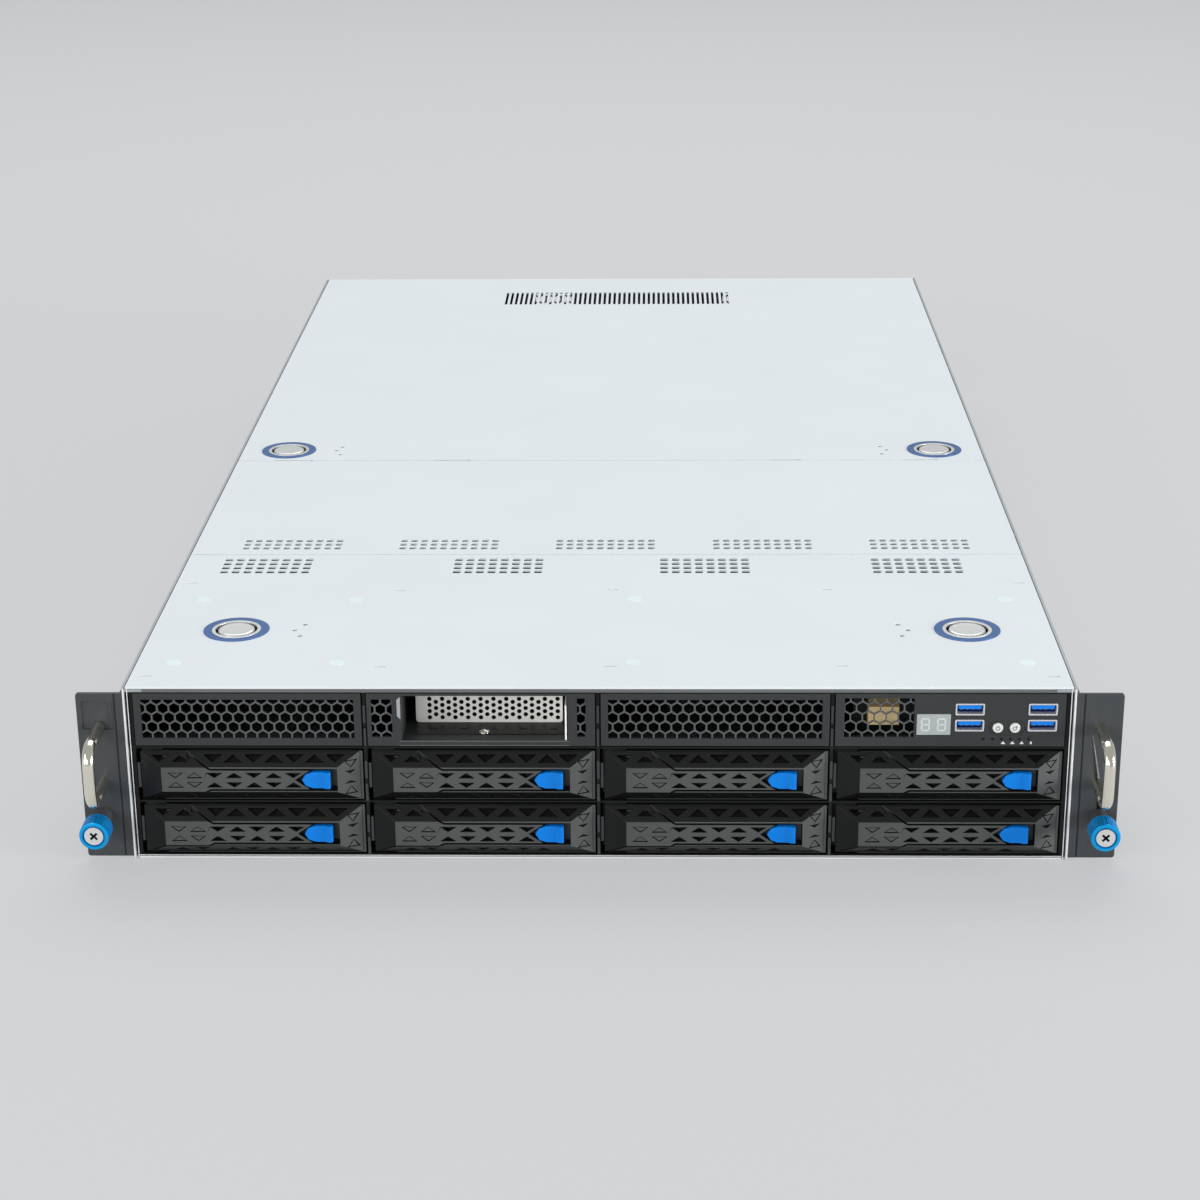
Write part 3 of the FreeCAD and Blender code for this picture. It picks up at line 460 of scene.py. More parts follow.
finishes = {
    "steel_cover": dict(color=(228, 234, 237), roughness=0.5, metallic=0.05, grain=2200.0, bump=0.05, drift=0.012,
                        stretch=(30.0, 1800.0, 30.0), roughDrift=0.06, gloss=0.3),
    "galvanised_steel": dict(color=(172, 177, 180), roughness=0.42, metallic=0.5, grain=500.0, bump=0.06,
                             drift=0.06, stretch=(1500.0, 30.0, 30.0), gloss=0.4),
    "black_steel": dict(color=(22, 23, 23), roughness=0.4, grain=1600.0, bump=0.1, drift=0.12, dust=0.02, gloss=0.22),
    "charcoal_steel": dict(color=(64, 67, 69), roughness=0.38, grain=1800.0, bump=0.12, drift=0.05, dust=0.02,
                           gloss=0.35),
    "black_plastic": dict(color=(17, 18, 18), roughness=0.36, grain=1500.0, bump=0.1, drift=0.08, dust=0.02,
                          gloss=0.22),
    # lever_plastic is a lighter grey copy of the black plastic: painted light on the front flats and the right-hand
    # facets
    "lever_plastic": dict(color=(78, 80, 79), roughness=0.42, grain=1500.0, bump=0.18, drift=0.06, dust=0.02,
                          gloss=0.35),
    "blue_plastic": dict(color=(0, 126, 224), roughness=0.42, grain=1400.0, bump=0.06, drift=0.04, gloss=0.22),
    "blue_anodised": dict(color=(0, 158, 226), roughness=0.3, metallic=0.45, grain=900.0, bump=0.04,
                          drift=0.05, gloss=0.4),
    "bright_steel": dict(color=(214, 212, 204), roughness=0.2, metallic=1.0, grain=900.0, bump=0.03, drift=0.04),
    "silver_button": dict(color=(226, 227, 226), roughness=0.32, metallic=0.7, grain=1500.0, bump=0.04, drift=0.02),
    "white_plastic": dict(color=(228, 228, 224), roughness=0.35, grain=1200.0, bump=0.04, drift=0.02, coat=0.2),
    "display_glass": dict(color=(168, 174, 173), roughness=0.25, grain=700.0, bump=0.02, drift=0.03, coat=0.4),
    "socket_steel": dict(color=(218, 220, 222), roughness=0.28, metallic=0.5, grain=1200.0, bump=0.04, drift=0.04),
    "circuit_board": dict(color=(16, 58, 38), roughness=0.45, grain=700.0, bump=0.1, drift=0.2),
    "cooling_metal": dict(color=(180, 183, 186), roughness=0.35, metallic=0.9, grain=900.0, bump=0.05, drift=0.05,
                          stretch=(1500.0, 40.0, 40.0)),
    "fan_plastic": dict(color=(30, 32, 34), roughness=0.4, grain=1200.0, bump=0.08, drift=0.08, gloss=0.35),
    "bezel_plastic": dict(color=(52, 54, 55), roughness=0.45, grain=1700.0, bump=0.12, drift=0.06, dust=0.02,
                          gloss=0.28),
    "ring_blue": dict(color=(62, 104, 160), roughness=0.35, metallic=0.35, grain=1400.0, bump=0.04, drift=0.04),
    "seal_steel": dict(color=(232, 246, 245), roughness=0.4, metallic=0.1, grain=1400.0, bump=0.03, drift=0.02),
    "port_blue": dict(color=(0, 124, 228), roughness=0.38, grain=900.0, bump=0.03, drift=0.05, gloss=0.3),
    "contact_gold": dict(color=(206, 176, 112), roughness=0.3, metallic=0.6, grain=900.0, bump=0.05, drift=0.08),
    # near-black for the faces that cuts leave in holes, pockets and grooves: painted shade for their dark insides
    "deep_black": dict(color=(6, 6, 7), roughness=0.6, grain=900.0, bump=0.05, drift=0.2, gloss=0.15),
    "drive_metal": dict(color=(150, 153, 156), roughness=0.4, metallic=0.8, grain=900.0, bump=0.06, drift=0.05),
    "digit_grey": dict(color=(204, 210, 209), roughness=0.3, grain=700.0, bump=0.02, drift=0.02, coat=0.3),
    # a dark navy copy of the port blue, for the sockets' lining: painted shade inside the sockets
    "port_deep": dict(color=(2, 34, 96), roughness=0.45, grain=900.0, bump=0.03, drift=0.08, gloss=0.2),
    "sign_grey": dict(color=(84, 92, 88), roughness=0.5, grain=900.0, bump=0.03, drift=0.08),
    "mesh_plastic": dict(color=(84, 86, 87), roughness=0.4, grain=1700.0, bump=0.1, drift=0.05, gloss=0.35),
    "handle_steel": dict(color=(236, 232, 216), roughness=0.13, metallic=1.0, grain=900.0, bump=0.03, drift=0.04,
                         stretch=(300.0, 300.0, 12.0)),
    # the bracket's silver plating, raised to near-white as painted light where the bracket sits in shade
    "plated_steel": dict(color=(255, 253, 246), roughness=0.42, grain=900.0, bump=0.03, drift=0.03, gloss=0.5),
    "edge_steel": dict(color=(232, 234, 235), roughness=0.35, metallic=0.2, grain=1500.0, bump=0.04, drift=0.05),
    "tape_brown": dict(color=(112, 92, 58), roughness=0.4, grain=900.0, bump=0.05, drift=0.1),
    "board_black": dict(color=(13, 19, 17), roughness=0.4, grain=700.0, bump=0.1, drift=0.2, gloss=0.25),
    # a dark grey for the cover's folded hem, which is really the cover's pale steel: painted shade
    "hem_grey": dict(color=(104, 107, 108), roughness=0.4, grain=1400.0, bump=0.04, drift=0.04, gloss=0.3),
    "supply_steel": dict(color=(150, 154, 157), roughness=0.42, metallic=0.5, grain=600.0, bump=0.06, drift=0.05,
                         stretch=(30.0, 30.0, 1500.0), gloss=0.4),
    "lamp_green": dict(color=(60, 190, 96), roughness=0.3, grain=900.0, bump=0.02, drift=0.03, coat=0.3),
    "lamp_amber": dict(color=(226, 176, 74), roughness=0.3, grain=900.0, bump=0.02, drift=0.03, coat=0.3),
    "cream_sleeve": dict(color=(214, 190, 140), roughness=0.4, grain=900.0, bump=0.06, drift=0.1),
}
materials = {name: makeMaterial(name, **values) for name, values in finishes.items()}

for entry in record["subparts"]:      # every CAD node that stays wears its slot's material
    wear(frame["nodes"][entry["node"]], entry["material_slot"])
print("materials made:", len(materials))

# ---- camera, lights and floor

cameraValues = {"place": (0.0270, -1.4969, 0.5411), "yaw": 1.33, "pitch": 20.49, "roll": -0.48, "lens": 77.79,
                "sensor": 36.0}      # places here are metres, and angles degrees


def makeCamera(values):
    yaw, pitch, roll = (math.radians(values[key]) for key in ("yaw", "pitch", "roll"))
    bpy.ops.object.camera_add(location=values["place"])
    camera = bpy.context.object
    camera.name = "camera"
    camera.data.lens = values["lens"]
    camera.data.sensor_width = values["sensor"]
    right = Vector((math.cos(yaw), math.sin(yaw), 0))
    ahead = Vector((-math.sin(yaw) * math.cos(pitch), math.cos(yaw) * math.cos(pitch), -math.sin(pitch)))
    up = right.cross(ahead)
    tilted = right * math.cos(roll) + up * math.sin(roll)
    upright = tilted.cross(ahead)
    turn = bpy.context.object.matrix_world.to_3x3()
    turn.col[0], turn.col[1], turn.col[2] = tilted, upright, -ahead
    camera.rotation_euler = turn.to_euler()
    bpy.context.scene.camera = camera


lampValues = {
    "topBox": {"place": (0.0, 1.5, 2.4), "aim": (0.0, 0.1, 0.0), "size": (2.8, 1.8), "power": 40.0},
    "leftBox": {"place": (-1.6, -1.2, 0.6), "aim": (0.0, -0.35, 0.05), "size": (0.7, 1.0), "power": 8.0},
    "rightBox": {"place": (1.9, -0.85, 0.3), "aim": (0.0, -0.4, 0.05), "size": (0.6, 0.6), "power": 36.0},
    "frontBox": {"place": (-1.0, -2.2, 0.7), "aim": (0.0, -0.4, 0.05), "size": (1.6, 0.6), "power": 15.0},
}


def makeLamp(name, values):
    place = Vector(values["place"])
    ahead = Vector(values["aim"]) - place
    bpy.ops.object.light_add(type="AREA", location=place, rotation=ahead.to_track_quat("-Z", "Y").to_euler())
    lamp = bpy.context.object
    lamp.name = name
    lamp.data.shape = "RECTANGLE"
    lamp.data.size, lamp.data.size_y = values["size"]
    lamp.data.energy = values["power"]


stageValues = {
    "size": 40.0, "drop": 0.0004, "tones": ((0.60, 0.61, 0.62), (0.64, 0.65, 0.66)), "grain": 260.0,
    "roughness": 0.8, "gloss": 0.2, "glow": (0.66, 0.67, 0.68), "glowShare": 0.6,
    "sky": (0.93, 0.95, 0.97), "skyStrength": 0.45, "horizon": 0.55,
}


def seenRay(tree):                    # 1 for what the camera, gloss and glass see, 0 for light on things
    ray = tree.nodes.new("ShaderNodeLightPath")
    seen = number(tree, "MAXIMUM", ray.outputs["Is Camera Ray"], ray.outputs["Is Glossy Ray"])
    return number(tree, "MAXIMUM", seen, ray.outputs["Is Transmission Ray"])


def makeFloor(values):
    deselectAll()
    bpy.ops.mesh.primitive_plane_add(size=values["size"], location=(0, 0, -values["drop"]))
    floor = settle("floor")
    material = bpy.data.materials.new("floorPaper")
    material.use_nodes = True
    tree = material.node_tree
    shader = tree.nodes["Principled BSDF"]
    shader.inputs["Roughness"].default_value = values["roughness"]
    shader.inputs["Specular IOR Level"].default_value = values["gloss"]
    grainNode = tree.nodes.new("ShaderNodeGroup")
    grainNode.node_tree = grainGroup
    grainNode.inputs["Scale"].default_value = values["grain"]
    tone = tree.nodes.new("ShaderNodeValToRGB")
    tone.color_ramp.elements[0].color = values["tones"][0] + (1,)
    tone.color_ramp.elements[1].color = values["tones"][1] + (1,)
    tree.links.new(grainNode.outputs["Height"], tone.inputs["Fac"])
    tree.links.new(tone.outputs["Color"], shader.inputs["Base Color"])
    glow = tree.nodes.new("ShaderNodeEmission")       # evens out the paper, and leaves the shadow on it
    glow.inputs["Color"].default_value = values["glow"] + (1,)
    blend = tree.nodes.new("ShaderNodeMixShader")
    tree.links.new(number(tree, "MULTIPLY", seenRay(tree), values["glowShare"]), blend.inputs[0])
    tree.links.new(shader.outputs[0], blend.inputs[1])
    tree.links.new(glow.outputs[0], blend.inputs[2])
    tree.links.new(blend.outputs[0], tree.nodes["Material Output"].inputs["Surface"])
    floor.data.materials.append(material)


def makeWorld(values):
    world = bpy.data.worlds.new("studio")
    bpy.context.scene.world = world
    world.use_nodes = True
    tree = world.node_tree
    background = tree.nodes["Background"]
    background.inputs["Color"].default_value = values["sky"] + (1,)
    ray = tree.nodes.new("ShaderNodeLightPath")
    extra = values["horizon"] - values["skyStrength"]
    extra = number(tree, "MULTIPLY", ray.outputs["Is Camera Ray"], extra)
    tree.links.new(number(tree, "ADD", extra, values["skyStrength"]), background.inputs["Strength"])


makeCamera(cameraValues)
for name, values in lampValues.items():
    makeLamp(name, values)
makeFloor(stageValues)
makeWorld(stageValues)
bpy.context.scene.view_settings.view_transform = "Standard"
print("camera, lights and floor made")

# ---- covers: sheets with vents, small slots and rivets, and a cup for each push button

coverValues = {
    "capRise": 0.5,                   # the buttons' caps stand this far over the covers
    "reach": (3, 2),                  # a punch goes this far under and over a cover's top
    "thickness": 1.2, "edge": 0.15, "seam": 0.3,
    "frontVents": {"middles": (-175.3, -55.0, 52.0, 161.5), "columns": 8, "rows": 4, "step": (6.0, 6.17),
                   "hole": 4.25, "first": 155.8},
    "middleVents": {"middles": (-166.0, -83.0, 0.0, 83.0, 166.0), "columns": 10, "rows": 3, "step": (5.4, 5.9),
                    "hole": 3.7, "first": 192.7},
    "ventCorner": 0.9,
    "rearSlots": {"count": 46, "step": 3.55, "width": 1.8, "front": 722.0, "rear": 758.0, "shift": -1.5},
    "dashes": ((-210.5, 138.8), (-102.5, 127.9), (5.2, 129.1), (113.0, 129.1), (210.5, 138.8),
               (-210.7, 13.3), (-102.4, 24.9), (5.5, 25.5), (113.7, 26.1), (210.7, 13.3)),
    "dash": (5.6, 1.0),
    "dots": {"front": ((144.5, 79.9), (148.7, 72.3), (145.1, 64.7)),
             "rear": ((159.6, 374.1), (162.6, 367.2), (159.4, 359.2))},
    "dot": 1.35,
    "notches": ((-196.5, -174.0), (-103.7, -82.0), (93.8, 111.0), (172.0, 191.0)),
    "notch": 0.9,
    "cup": 10.9, "cupWall": 0.95,
}
top = cadBox[1].z / mm - coverValues["capRise"]      # the covers' upper face
throughCover = (top - coverValues["reach"][0], top + coverValues["reach"][1])

buttonPlaces = {}
for end in ("front", "rear"):
    for side in ("left", "right"):
        low, high = boxOf(end + "_" + side + "_button")
        buttonPlaces[end, side] = ((low.x + high.x) / 2, (low.y + high.y) / 2)


def ventGrid(values):                 # rounded square punches, in groups
    columns, hole, (stepX, stepY) = values["columns"], values["hole"], values["step"]
    punches = []
    for middle in values["middles"]:
        left = middle - (columns - 1) * stepX / 2
        punch = block("punch", span(left, hole), span(values["first"], hole), throughCover)
        bevelEdges(punch, coverValues["ventCorner"], 2, lambda a, b: abs(a.z - b.z) > mm)
        repeat(punch, (stepX, 0, 0), columns)
        punches.append(repeat(punch, (0, stepY, 0), values["rows"]))
    return punches


def dashPunches():
    wide, deep = coverValues["dash"]
    return [block("punch", span(x, wide), span(y, deep), throughCover) for x, y in coverValues["dashes"]]


def dotPunches(end):                  # a group of three at each side of a cover
    return [rod("punch", (side * x, y, top), coverValues["dot"], 6, "Z", sides=12)
            for side in (-1, 1) for x, y in coverValues["dots"][end]]


def cupPunches(end):
    radius = coverValues["cup"] + coverValues["cupWall"] / 2
    return [rod("punch", (*buttonPlaces[end, side], top), radius, 8, "Z", sides=48) for side in ("left", "right")]


def makeSheet(name, node, punches, trims):      # trims widen the seams at its front and rear
    low, high = boxOf(node)
    sheet = block(name, (low.x, high.x), (low.y + trims[0], high.y - trims[1]),
                  (top - coverValues["thickness"], top))
    cut(sheet, punches)
    return wear(soften(sheet, coverValues["edge"], 1), "steel_cover")


hemValues = {"depths": (0.1, 0.9), "bottom": 84.25, "drop": 1.0, "corner": 0.6}


def makeHem():                        # the front cover's edge, folded down at the front, in a dark grey that is painted shade
    values = hemValues
    low, high = boxOf("front_cover")
    near, far = (low.y + depth for depth in values["depths"])
    bottom, upper = values["bottom"], top - values["drop"]
    hem = block("hem", (low.x, high.x), (near, far), (bottom, upper))
    frontHalf, lowerHalf = at(0, (near + far) / 2, 0).y, (bottom + upper) / 2 * mm
    bevelEdges(hem, values["corner"], 5, lambda a, b: max(a.z, b.z) < lowerHalf and max(a.y, b.y) < frontHalf)
    return smooth(wear(hem, "hem_grey"), 30)


def makeFrontCover():
    punches = ventGrid(coverValues["frontVents"]) + dashPunches() + dotPunches("front") + cupPunches("front")
    sheet = makeSheet("frontCover", "front_cover", punches, (0, coverValues["seam"]))
    sheet = joined("frontCover", [sheet, makeHem()])
    fit(sheet, "front_cover", "steel_cover", "front_cover")


def makeMiddleCover():
    seam = coverValues["seam"]
    sheet = makeSheet("middleCover", "middle_cover", ventGrid(coverValues["middleVents"]), (seam, seam))
    fit(sheet, "chassis", "steel_cover", "middle_cover")


def makeRearCover():
    values, slots = coverValues, coverValues["rearSlots"]
    slot = block("punch", span(slots["shift"] - (slots["count"] - 1) * slots["step"] / 2, slots["width"]),
                 (slots["front"], slots["rear"]), throughCover)
    repeat(slot, (slots["step"], 0, 0), slots["count"])
    edge = boxOf("rear_cover")[0].y + values["seam"]
    notches = [block("punch", pair, (edge - 1, edge + values["notch"]), throughCover) for pair in values["notches"]]
    punches = [slot] + notches + dotPunches("rear") + cupPunches("rear")
    sheet = makeSheet("rearCover", "rear_cover", punches, (values["seam"], 0))
    fit(sheet, "rear_cover", "steel_cover", "rear_cover")


seamShadeValues = {"reach": 215.0, "width": 3.2, "height": 0.5, "gap": 0.15, "edge": 0.1}


def makeSeamShade(name, front, rear):    # a dark strip under the seam between two covers, painted shade that makes the gap look dark
    values = seamShadeValues
    seam = (boxOf(front)[1].y + boxOf(rear)[0].y) / 2
    upper = top - coverValues["thickness"] - values["gap"]
    seamShade = block(name, (-values["reach"], values["reach"]), span(seam, values["width"]),
                   (upper - values["height"], upper))
    dress(soften(seamShade, values["edge"], 1), "black_steel", "chassis", "black_steel")


rivetValues = {
    "places": ((-200.0, 114.9), (-123.7, 114.4), (15.8, 115.4), (200.4, 114.9),
               (-200.4, 30.2), (-123.5, 30.0), (16.0, 30.7), (200.4, 30.2)),
    "radius": 3.8, "height": 0.1, "lift": 0.03, "edge": 0.03,
}


def makeRivet(name, x, y):            # the head of a flush rivet in the front cover
    values = rivetValues
    rivet = rod(name, (x, y, top + values["lift"]), values["radius"], values["height"], "Z", sides=28)
    dress(soften(rivet, values["edge"], 1), "seal_steel", "front_cover", "steel_cover")


makeFrontCover()
makeMiddleCover()
makeRearCover()
makeSeamShade("coverGasket1", "front_cover", "middle_cover")
makeSeamShade("coverGasket2", "middle_cover", "rear_cover")
for order, (x, y) in enumerate(rivetValues["places"], 1):
    makeRivet("coverRivet%d" % order, x, y)
print("covers made")

buttonValues = {
    "ring": {"radii": (11.9, 16.0), "heights": (-0.1, 0.32)},      # heights are counted from the covers' top
    "lip": {"radii": (10.2, 11.9), "heights": (-1.0, 0.4)},
    "cup": {"radii": (10.9, 11.85), "heights": (-10.0, -0.2)},
    "cupFloor": {"radii": (4.4, 11.0), "heights": (-10.0, -9.0)},
    "ringEdge": 0.1,
    "cap": 9.0, "capHeight": 4.6, "capRound": 1.1, "capRim": 1.2, "capDish": (0.5, 0.12), "stemOverlap": 0.5,
}


def flatRing(name, middle, radii, length, axis, sides):      # by insetting a disc and joining its two faces
    ring = rod(name, middle, radii[1], length, axis, sides)
    along = "XYZ".index(axis)
    openFaces(ring, lambda face: abs(face.normal[along]) > 0.9)
    bpy.ops.mesh.inset(thickness=(radii[1] - radii[0]) * mm)
    bpy.ops.mesh.bridge_edge_loops()
    closeEdit()
    return ring


def coverRing(name, place, values, sides=64):
    low, high = (top + height for height in values["heights"])
    ring = flatRing(name, (*place, (low + high) / 2), values["radii"], high - low, "Z", sides)
    return soften(ring, buttonValues["ringEdge"])


def makeButton(end, side):
    values = buttonValues
    place = buttonPlaces[end, side]
    cover, node = end + "_cover", end + "_" + side + "_button"
    tag = end.capitalize() + side.capitalize()
    dress(coverRing("ring" + tag, place, values["ring"]), "ring_blue", cover, "blue_anodised")
    dress(coverRing("lip" + tag, place, values["lip"]), "silver_button", cover, "steel_cover")
    cup = coverRing("cup" + tag, place, values["cup"], 48)
    cupFloor = coverRing("cupFloor", place, values["cupFloor"], 48)
    dress(joined("cup" + tag, [cup, cupFloor]), "black_steel", cover, "steel_cover")
    high, tall = boxOf(node)[1].z, values["capHeight"]
    cap = rod("cap" + tag, (*place, high - tall / 2), values["cap"], tall, "Z", sides=64)
    bevelFaces(cap, values["capRound"], 4, facesUp)
    insetFaces(cap, lambda face: face.normal.z > 0.99, (values["capRim"], 0), values["capDish"])
    smooth(cap, 25)
    stem = nodeCopy(node, "stem")
    openFaces(stem, lambda face: True)
    bpy.ops.mesh.bisect(plane_co=at(0, 0, high - tall + values["stemOverlap"]), plane_no=(0, 0, 1),
                        use_fill=True, clear_outer=True)
    closeEdit()
    dress(joined("cap" + tag, [cap, stem]), "silver_button", node, "silver_button", node)


for end in ("front", "rear"):
    for side in ("left", "right"):
        makeButton(end, side)
print("cover buttons made")

# ---- rack ears, handles and thumbscrews

edgeValues = {"side": ((218.55, 219.4), (216.95, 217.35)), "heights": (0.2, 86.4), "base": ((0.1, 0.95), (1.5, 1.8)),
              "baseReach": 216.6, "depths": (-0.18, 0.4), "edge": 0.1}


def makeEdges():                      # the bare cut edges of the chassis sheets, seen from the front
    values = edgeValues
    front = boxOf("chassis_tray")[0].y
    y = tuple(front + depth for depth in values["depths"])
    strips = []
    for inner, outer in values["side"]:
        for side in (-1, 1):
            strips.append(block("edge", sorted((side * inner, side * outer)), y, values["heights"]))
    for z in values["base"]:
        strips.append(block("edge", (-values["baseReach"], values["baseReach"]), y, z))
    edges = soften(joined("chassisEdges", strips), values["edge"])
    dress(edges, "edge_steel", "chassis", "galvanised_steel")


earValues = {
    "edge": 0.35, "groove": (223.4, 0.5), "grooveDepth": 0.35,
    "field": ((-238.8, -226.0), (65.9, 79.6)), "fieldDepth": 0.8, "fieldCorner": 1.6,      # on the left ear only
    "cutFrom": -2, "cutTop": 90,
    "sleeveWidth": 15.0, "sleeveEdge": 0.3,      # what is narrower than this is a thumbscrew's sleeve
}


def makeEars():
    values = earValues
    for part in looseParts(nodeCopy("rack_ears", "ears")):
        xs = [vertex.co.x for vertex in part.data.vertices]
        side, tag = (-1, "Left") if sum(xs) < 0 else (1, "Right")
        if max(xs) - min(xs) > values["sleeveWidth"] * mm:
            groove = block("punch", span(side * values["groove"][0], values["groove"][1]),
                           (values["cutFrom"], values["grooveDepth"]), (values["cutFrom"], values["cutTop"]))
            soften(cut(part, [groove]), values["edge"], 3)
            if side < 0:
                x, z = values["field"]
                field = pill("punch", x, (values["cutFrom"], values["fieldDepth"]), z, values["fieldCorner"])
                smooth(cut(part, [field]))
            dress(rename(part, "rackEar" + tag), "charcoal_steel", "chassis", "charcoal_steel", "rack_ears")
        else:
            soften(part, values["sleeveEdge"])
            dress(rename(part, "screwSleeve" + tag), "black_steel", "chassis", "black_steel", "rack_ears")


handleValues = {"radius": 2.8, "sides": 28, "bend": 8.0, "bendSteps": 10, "gap": 0.01}


def makeHandle(side):                 # a disc that is drawn out and spun along the rod's path
    values = handleValues
    radius, bend = values["radius"], values["bend"]
    low, high = boxOf("rack_handles")
    across = side * (high.x - radius)
    bottom, upper = low.z + radius, high.z - radius
    knee = low.y + radius + bend
    deselectAll()
    bpy.ops.mesh.primitive_circle_add(vertices=values["sides"], radius=radius * mm, fill_type="NGON",
                                      location=at(across, high.y - values["gap"], bottom),
                                      rotation=(math.pi / 2, 0, 0))
    handle = settle("rackHandle" + ("Left" if side < 0 else "Right"))
    openFaces(handle, lambda face: True)
    for run, level in (((0, (knee - high.y) * mm, 0), bottom + bend),
                       ((0, 0, (upper - bottom - 2 * bend) * mm), upper - bend)):
        bpy.ops.mesh.extrude_region_move(TRANSFORM_OT_translate={"value": run})
        bpy.ops.mesh.spin(steps=values["bendSteps"], angle=math.pi / 2, center=at(across, knee, level), axis=(1, 0, 0))
    bpy.ops.mesh.extrude_region_move(TRANSFORM_OT_translate={"value": (0, (high.y - knee) * mm, 0)})
    bpy.ops.mesh.select_all(action="SELECT")
    bpy.ops.mesh.remove_doubles(threshold=0.001 * mm)
    bpy.ops.mesh.normals_make_consistent(inside=False)
    closeEdit()
    dress(smooth(handle, 50), "handle_steel", "chassis", "bright_steel", "rack_handles")


knobValues = {
    "length": 10.8, "edge": 0.7, "flutes": 44, "fluteRim": 0.06, "fluteDepth": 0.28,
    "collar": 0.9, "hollow": (0.35, 1.6),
    "shank": 2.5, "shankEdge": 0.25,
    "disc": 4.4, "discLength": 1.3, "discMiddle": 0.75, "discFront": 0.1, "discEdge": 0.12,
    "cross": (4.3, 1.05), "crossDepth": 1.9, "turn": 45.0,
}


def makeThumbscrew(side):
    values = knobValues
    tag = "Left" if side < 0 else "Right"
    node = tag.lower() + "_thumbscrew"
    low, high = boxOf(node)
    x, z = (low.x + high.x) / 2, (low.z + high.z) / 2
    length = values["length"]
    knob = rod("thumbKnob" + tag, (x, low.y + length / 2, z), (high.z - low.z) / 2, length, "Y",
               sides=2 * values["flutes"])
    bevelFaces(knob, values["edge"], 2, lambda face: abs(face.normal.y) > 0.9)
    flutes = set([face.index for face in knob.data.polygons if abs(face.normal.y) < 0.1][::2])
    openFaces(knob, lambda face: face.index in flutes)
    bpy.ops.mesh.inset(thickness=values["fluteRim"] * mm, depth=-values["fluteDepth"] * mm, use_individual=True)
    closeEdit()
    insetFaces(knob, lambda face: face.normal.y < -0.99, (values["collar"], 0), values["hollow"])
    dress(smooth(knob, 40), "blue_anodised", node, "blue_anodised", node)
    disc = rod("screwHead" + tag, (x, low.y + values["discMiddle"], z), values["disc"], values["discLength"], "Y",
               sides=40)
    wear(disc, "silver_button")
    for wide, tall in (values["cross"], values["cross"][::-1]):
        arm = block("punch", span(x, wide), (low.y - 1, low.y + values["discFront"] + values["crossDepth"] / 2),
                    span(z, tall))
        openFaces(arm, lambda face: True)
        bpy.ops.transform.rotate(value=math.radians(values["turn"]), orient_axis="Y", center_override=at(x, 0, z))
        closeEdit()
        # the cross's cut faces wear near-black, painted shade
        cut(disc, [arm], "deep_black")
    fit(soften(disc, values["discEdge"]), node, "bright_steel")
    shank = rod("screwShank" + tag, (x, (low.y + length + high.y) / 2, z), values["shank"],
                high.y - low.y - length, "Y", sides=24)
    dress(soften(shank, values["shankEdge"], 1), "bright_steel", node, "bright_steel")


makeEdges()
makeEars()
for side in (-1, 1):
    makeHandle(side)
    makeThumbscrew(side)
print("ears, handles and thumbscrews made")

# ---- drive trays: the bezel with its sunk triangles, the lever, the latch, and the drive behind

trayValues = {
    "floor": 0.3,                     # the rails run this far over the bay's floor
    "topSlope": -38.9, "bottomSlope": 43.3, "facet": 26.1, "facetStart": 41.0, "flatY": -4.5,
    "topY": -1.75, "topHeight": 22.75, "topPockets": (-17.1, -7.6, 1.9, 11.4, 20.9, 30.4, 39.9),
    "pocket": (9.0, 3.9), "pocketDepth": 2.0,
    "bottomY": -1.95, "bottomHeight": 4.0, "bottomPockets": (-33.8, -24.5, -9.9, -0.5, 8.8, 18.5, 28.1),
    "bottomPocket": (7.4, 3.0), "bottomDepth": 0.8,
    "facetMarks": ((47.0, 19.9, 6.4, 3.9, False, True),      # across, height, its size, pointing up, an outline
                   (46.6, 15.9, 5.0, 1.5, False, False),
                   (46.6, 10.9, 5.4, 1.2, True, False),
                   (47.0, 6.9, 6.4, 3.9, True, True)),
    "markDepth": 0.4, "edge": 0.22, "driveEdge": 0.6,
}
grooveValues = {"line": 0.55, "lines": (3.4, 1.6), "sunk": 0.03}      # the island is this many lines smaller
trayLow, trayHigh = boxOf("drive_tray_1")
trayMiddle, bayFloor = (trayLow.x + trayHigh.x) / 2, trayLow.z - trayValues["floor"]


def triangle(middle, width, height, depth, pointsUp=True, tilt=(0, 0, 0)):      # a punch that looks forward, then tilts
    deselectAll()
    bpy.ops.mesh.primitive_cylinder_add(vertices=3, radius=1.0, depth=2 * depth * mm, rotation=(math.pi / 2, 0, 0),
                                        scale=(width / math.sqrt(3) * mm, height / 1.5 * mm, 1.0))
    punch = settle("punch")
    openFaces(punch, lambda face: True)
    bpy.ops.transform.translate(value=(0, 0, -height / 6 * mm))      # from its centroid to half its height
    if not pointsUp:
        bpy.ops.transform.rotate(value=math.pi, orient_axis="Y", center_override=(0, 0, 0))
    closeEdit()
    activate(punch)
    punch.rotation_euler = [math.radians(angle) for angle in tilt]
    punch.location = at(*middle)
    return settle("punch")


def engrave(place, width, height, depth, pointsUp, tilt=(0, 0, 0)):      # a groove's punch, and the island in it
    line, (wide, tall) = grooveValues["line"], grooveValues["lines"]
    half = depth / 2 + grooveValues["sunk"]
    inward = Euler([math.radians(angle) for angle in tilt]).to_matrix() @ Vector((0, half, 0))
    island = triangle(Vector(place) + inward, width - wide * line, height - tall * line, half, pointsUp, tilt)
    # the island wears the flats' lighter grey, which is painted light
    return triangle(place, width, height, depth, pointsUp, tilt), wear(island, "lever_plastic")


def topPocket(across, pointsUp, trim=(0, 0)):
    values = trayValues
    wide, tall = values["pocket"]
    return triangle((trayMiddle + across, values["topY"], bayFloor + values["topHeight"]), wide - trim[0],
                    tall - trim[1], values["pocketDepth"], pointsUp, (values["topSlope"], 0, 0))


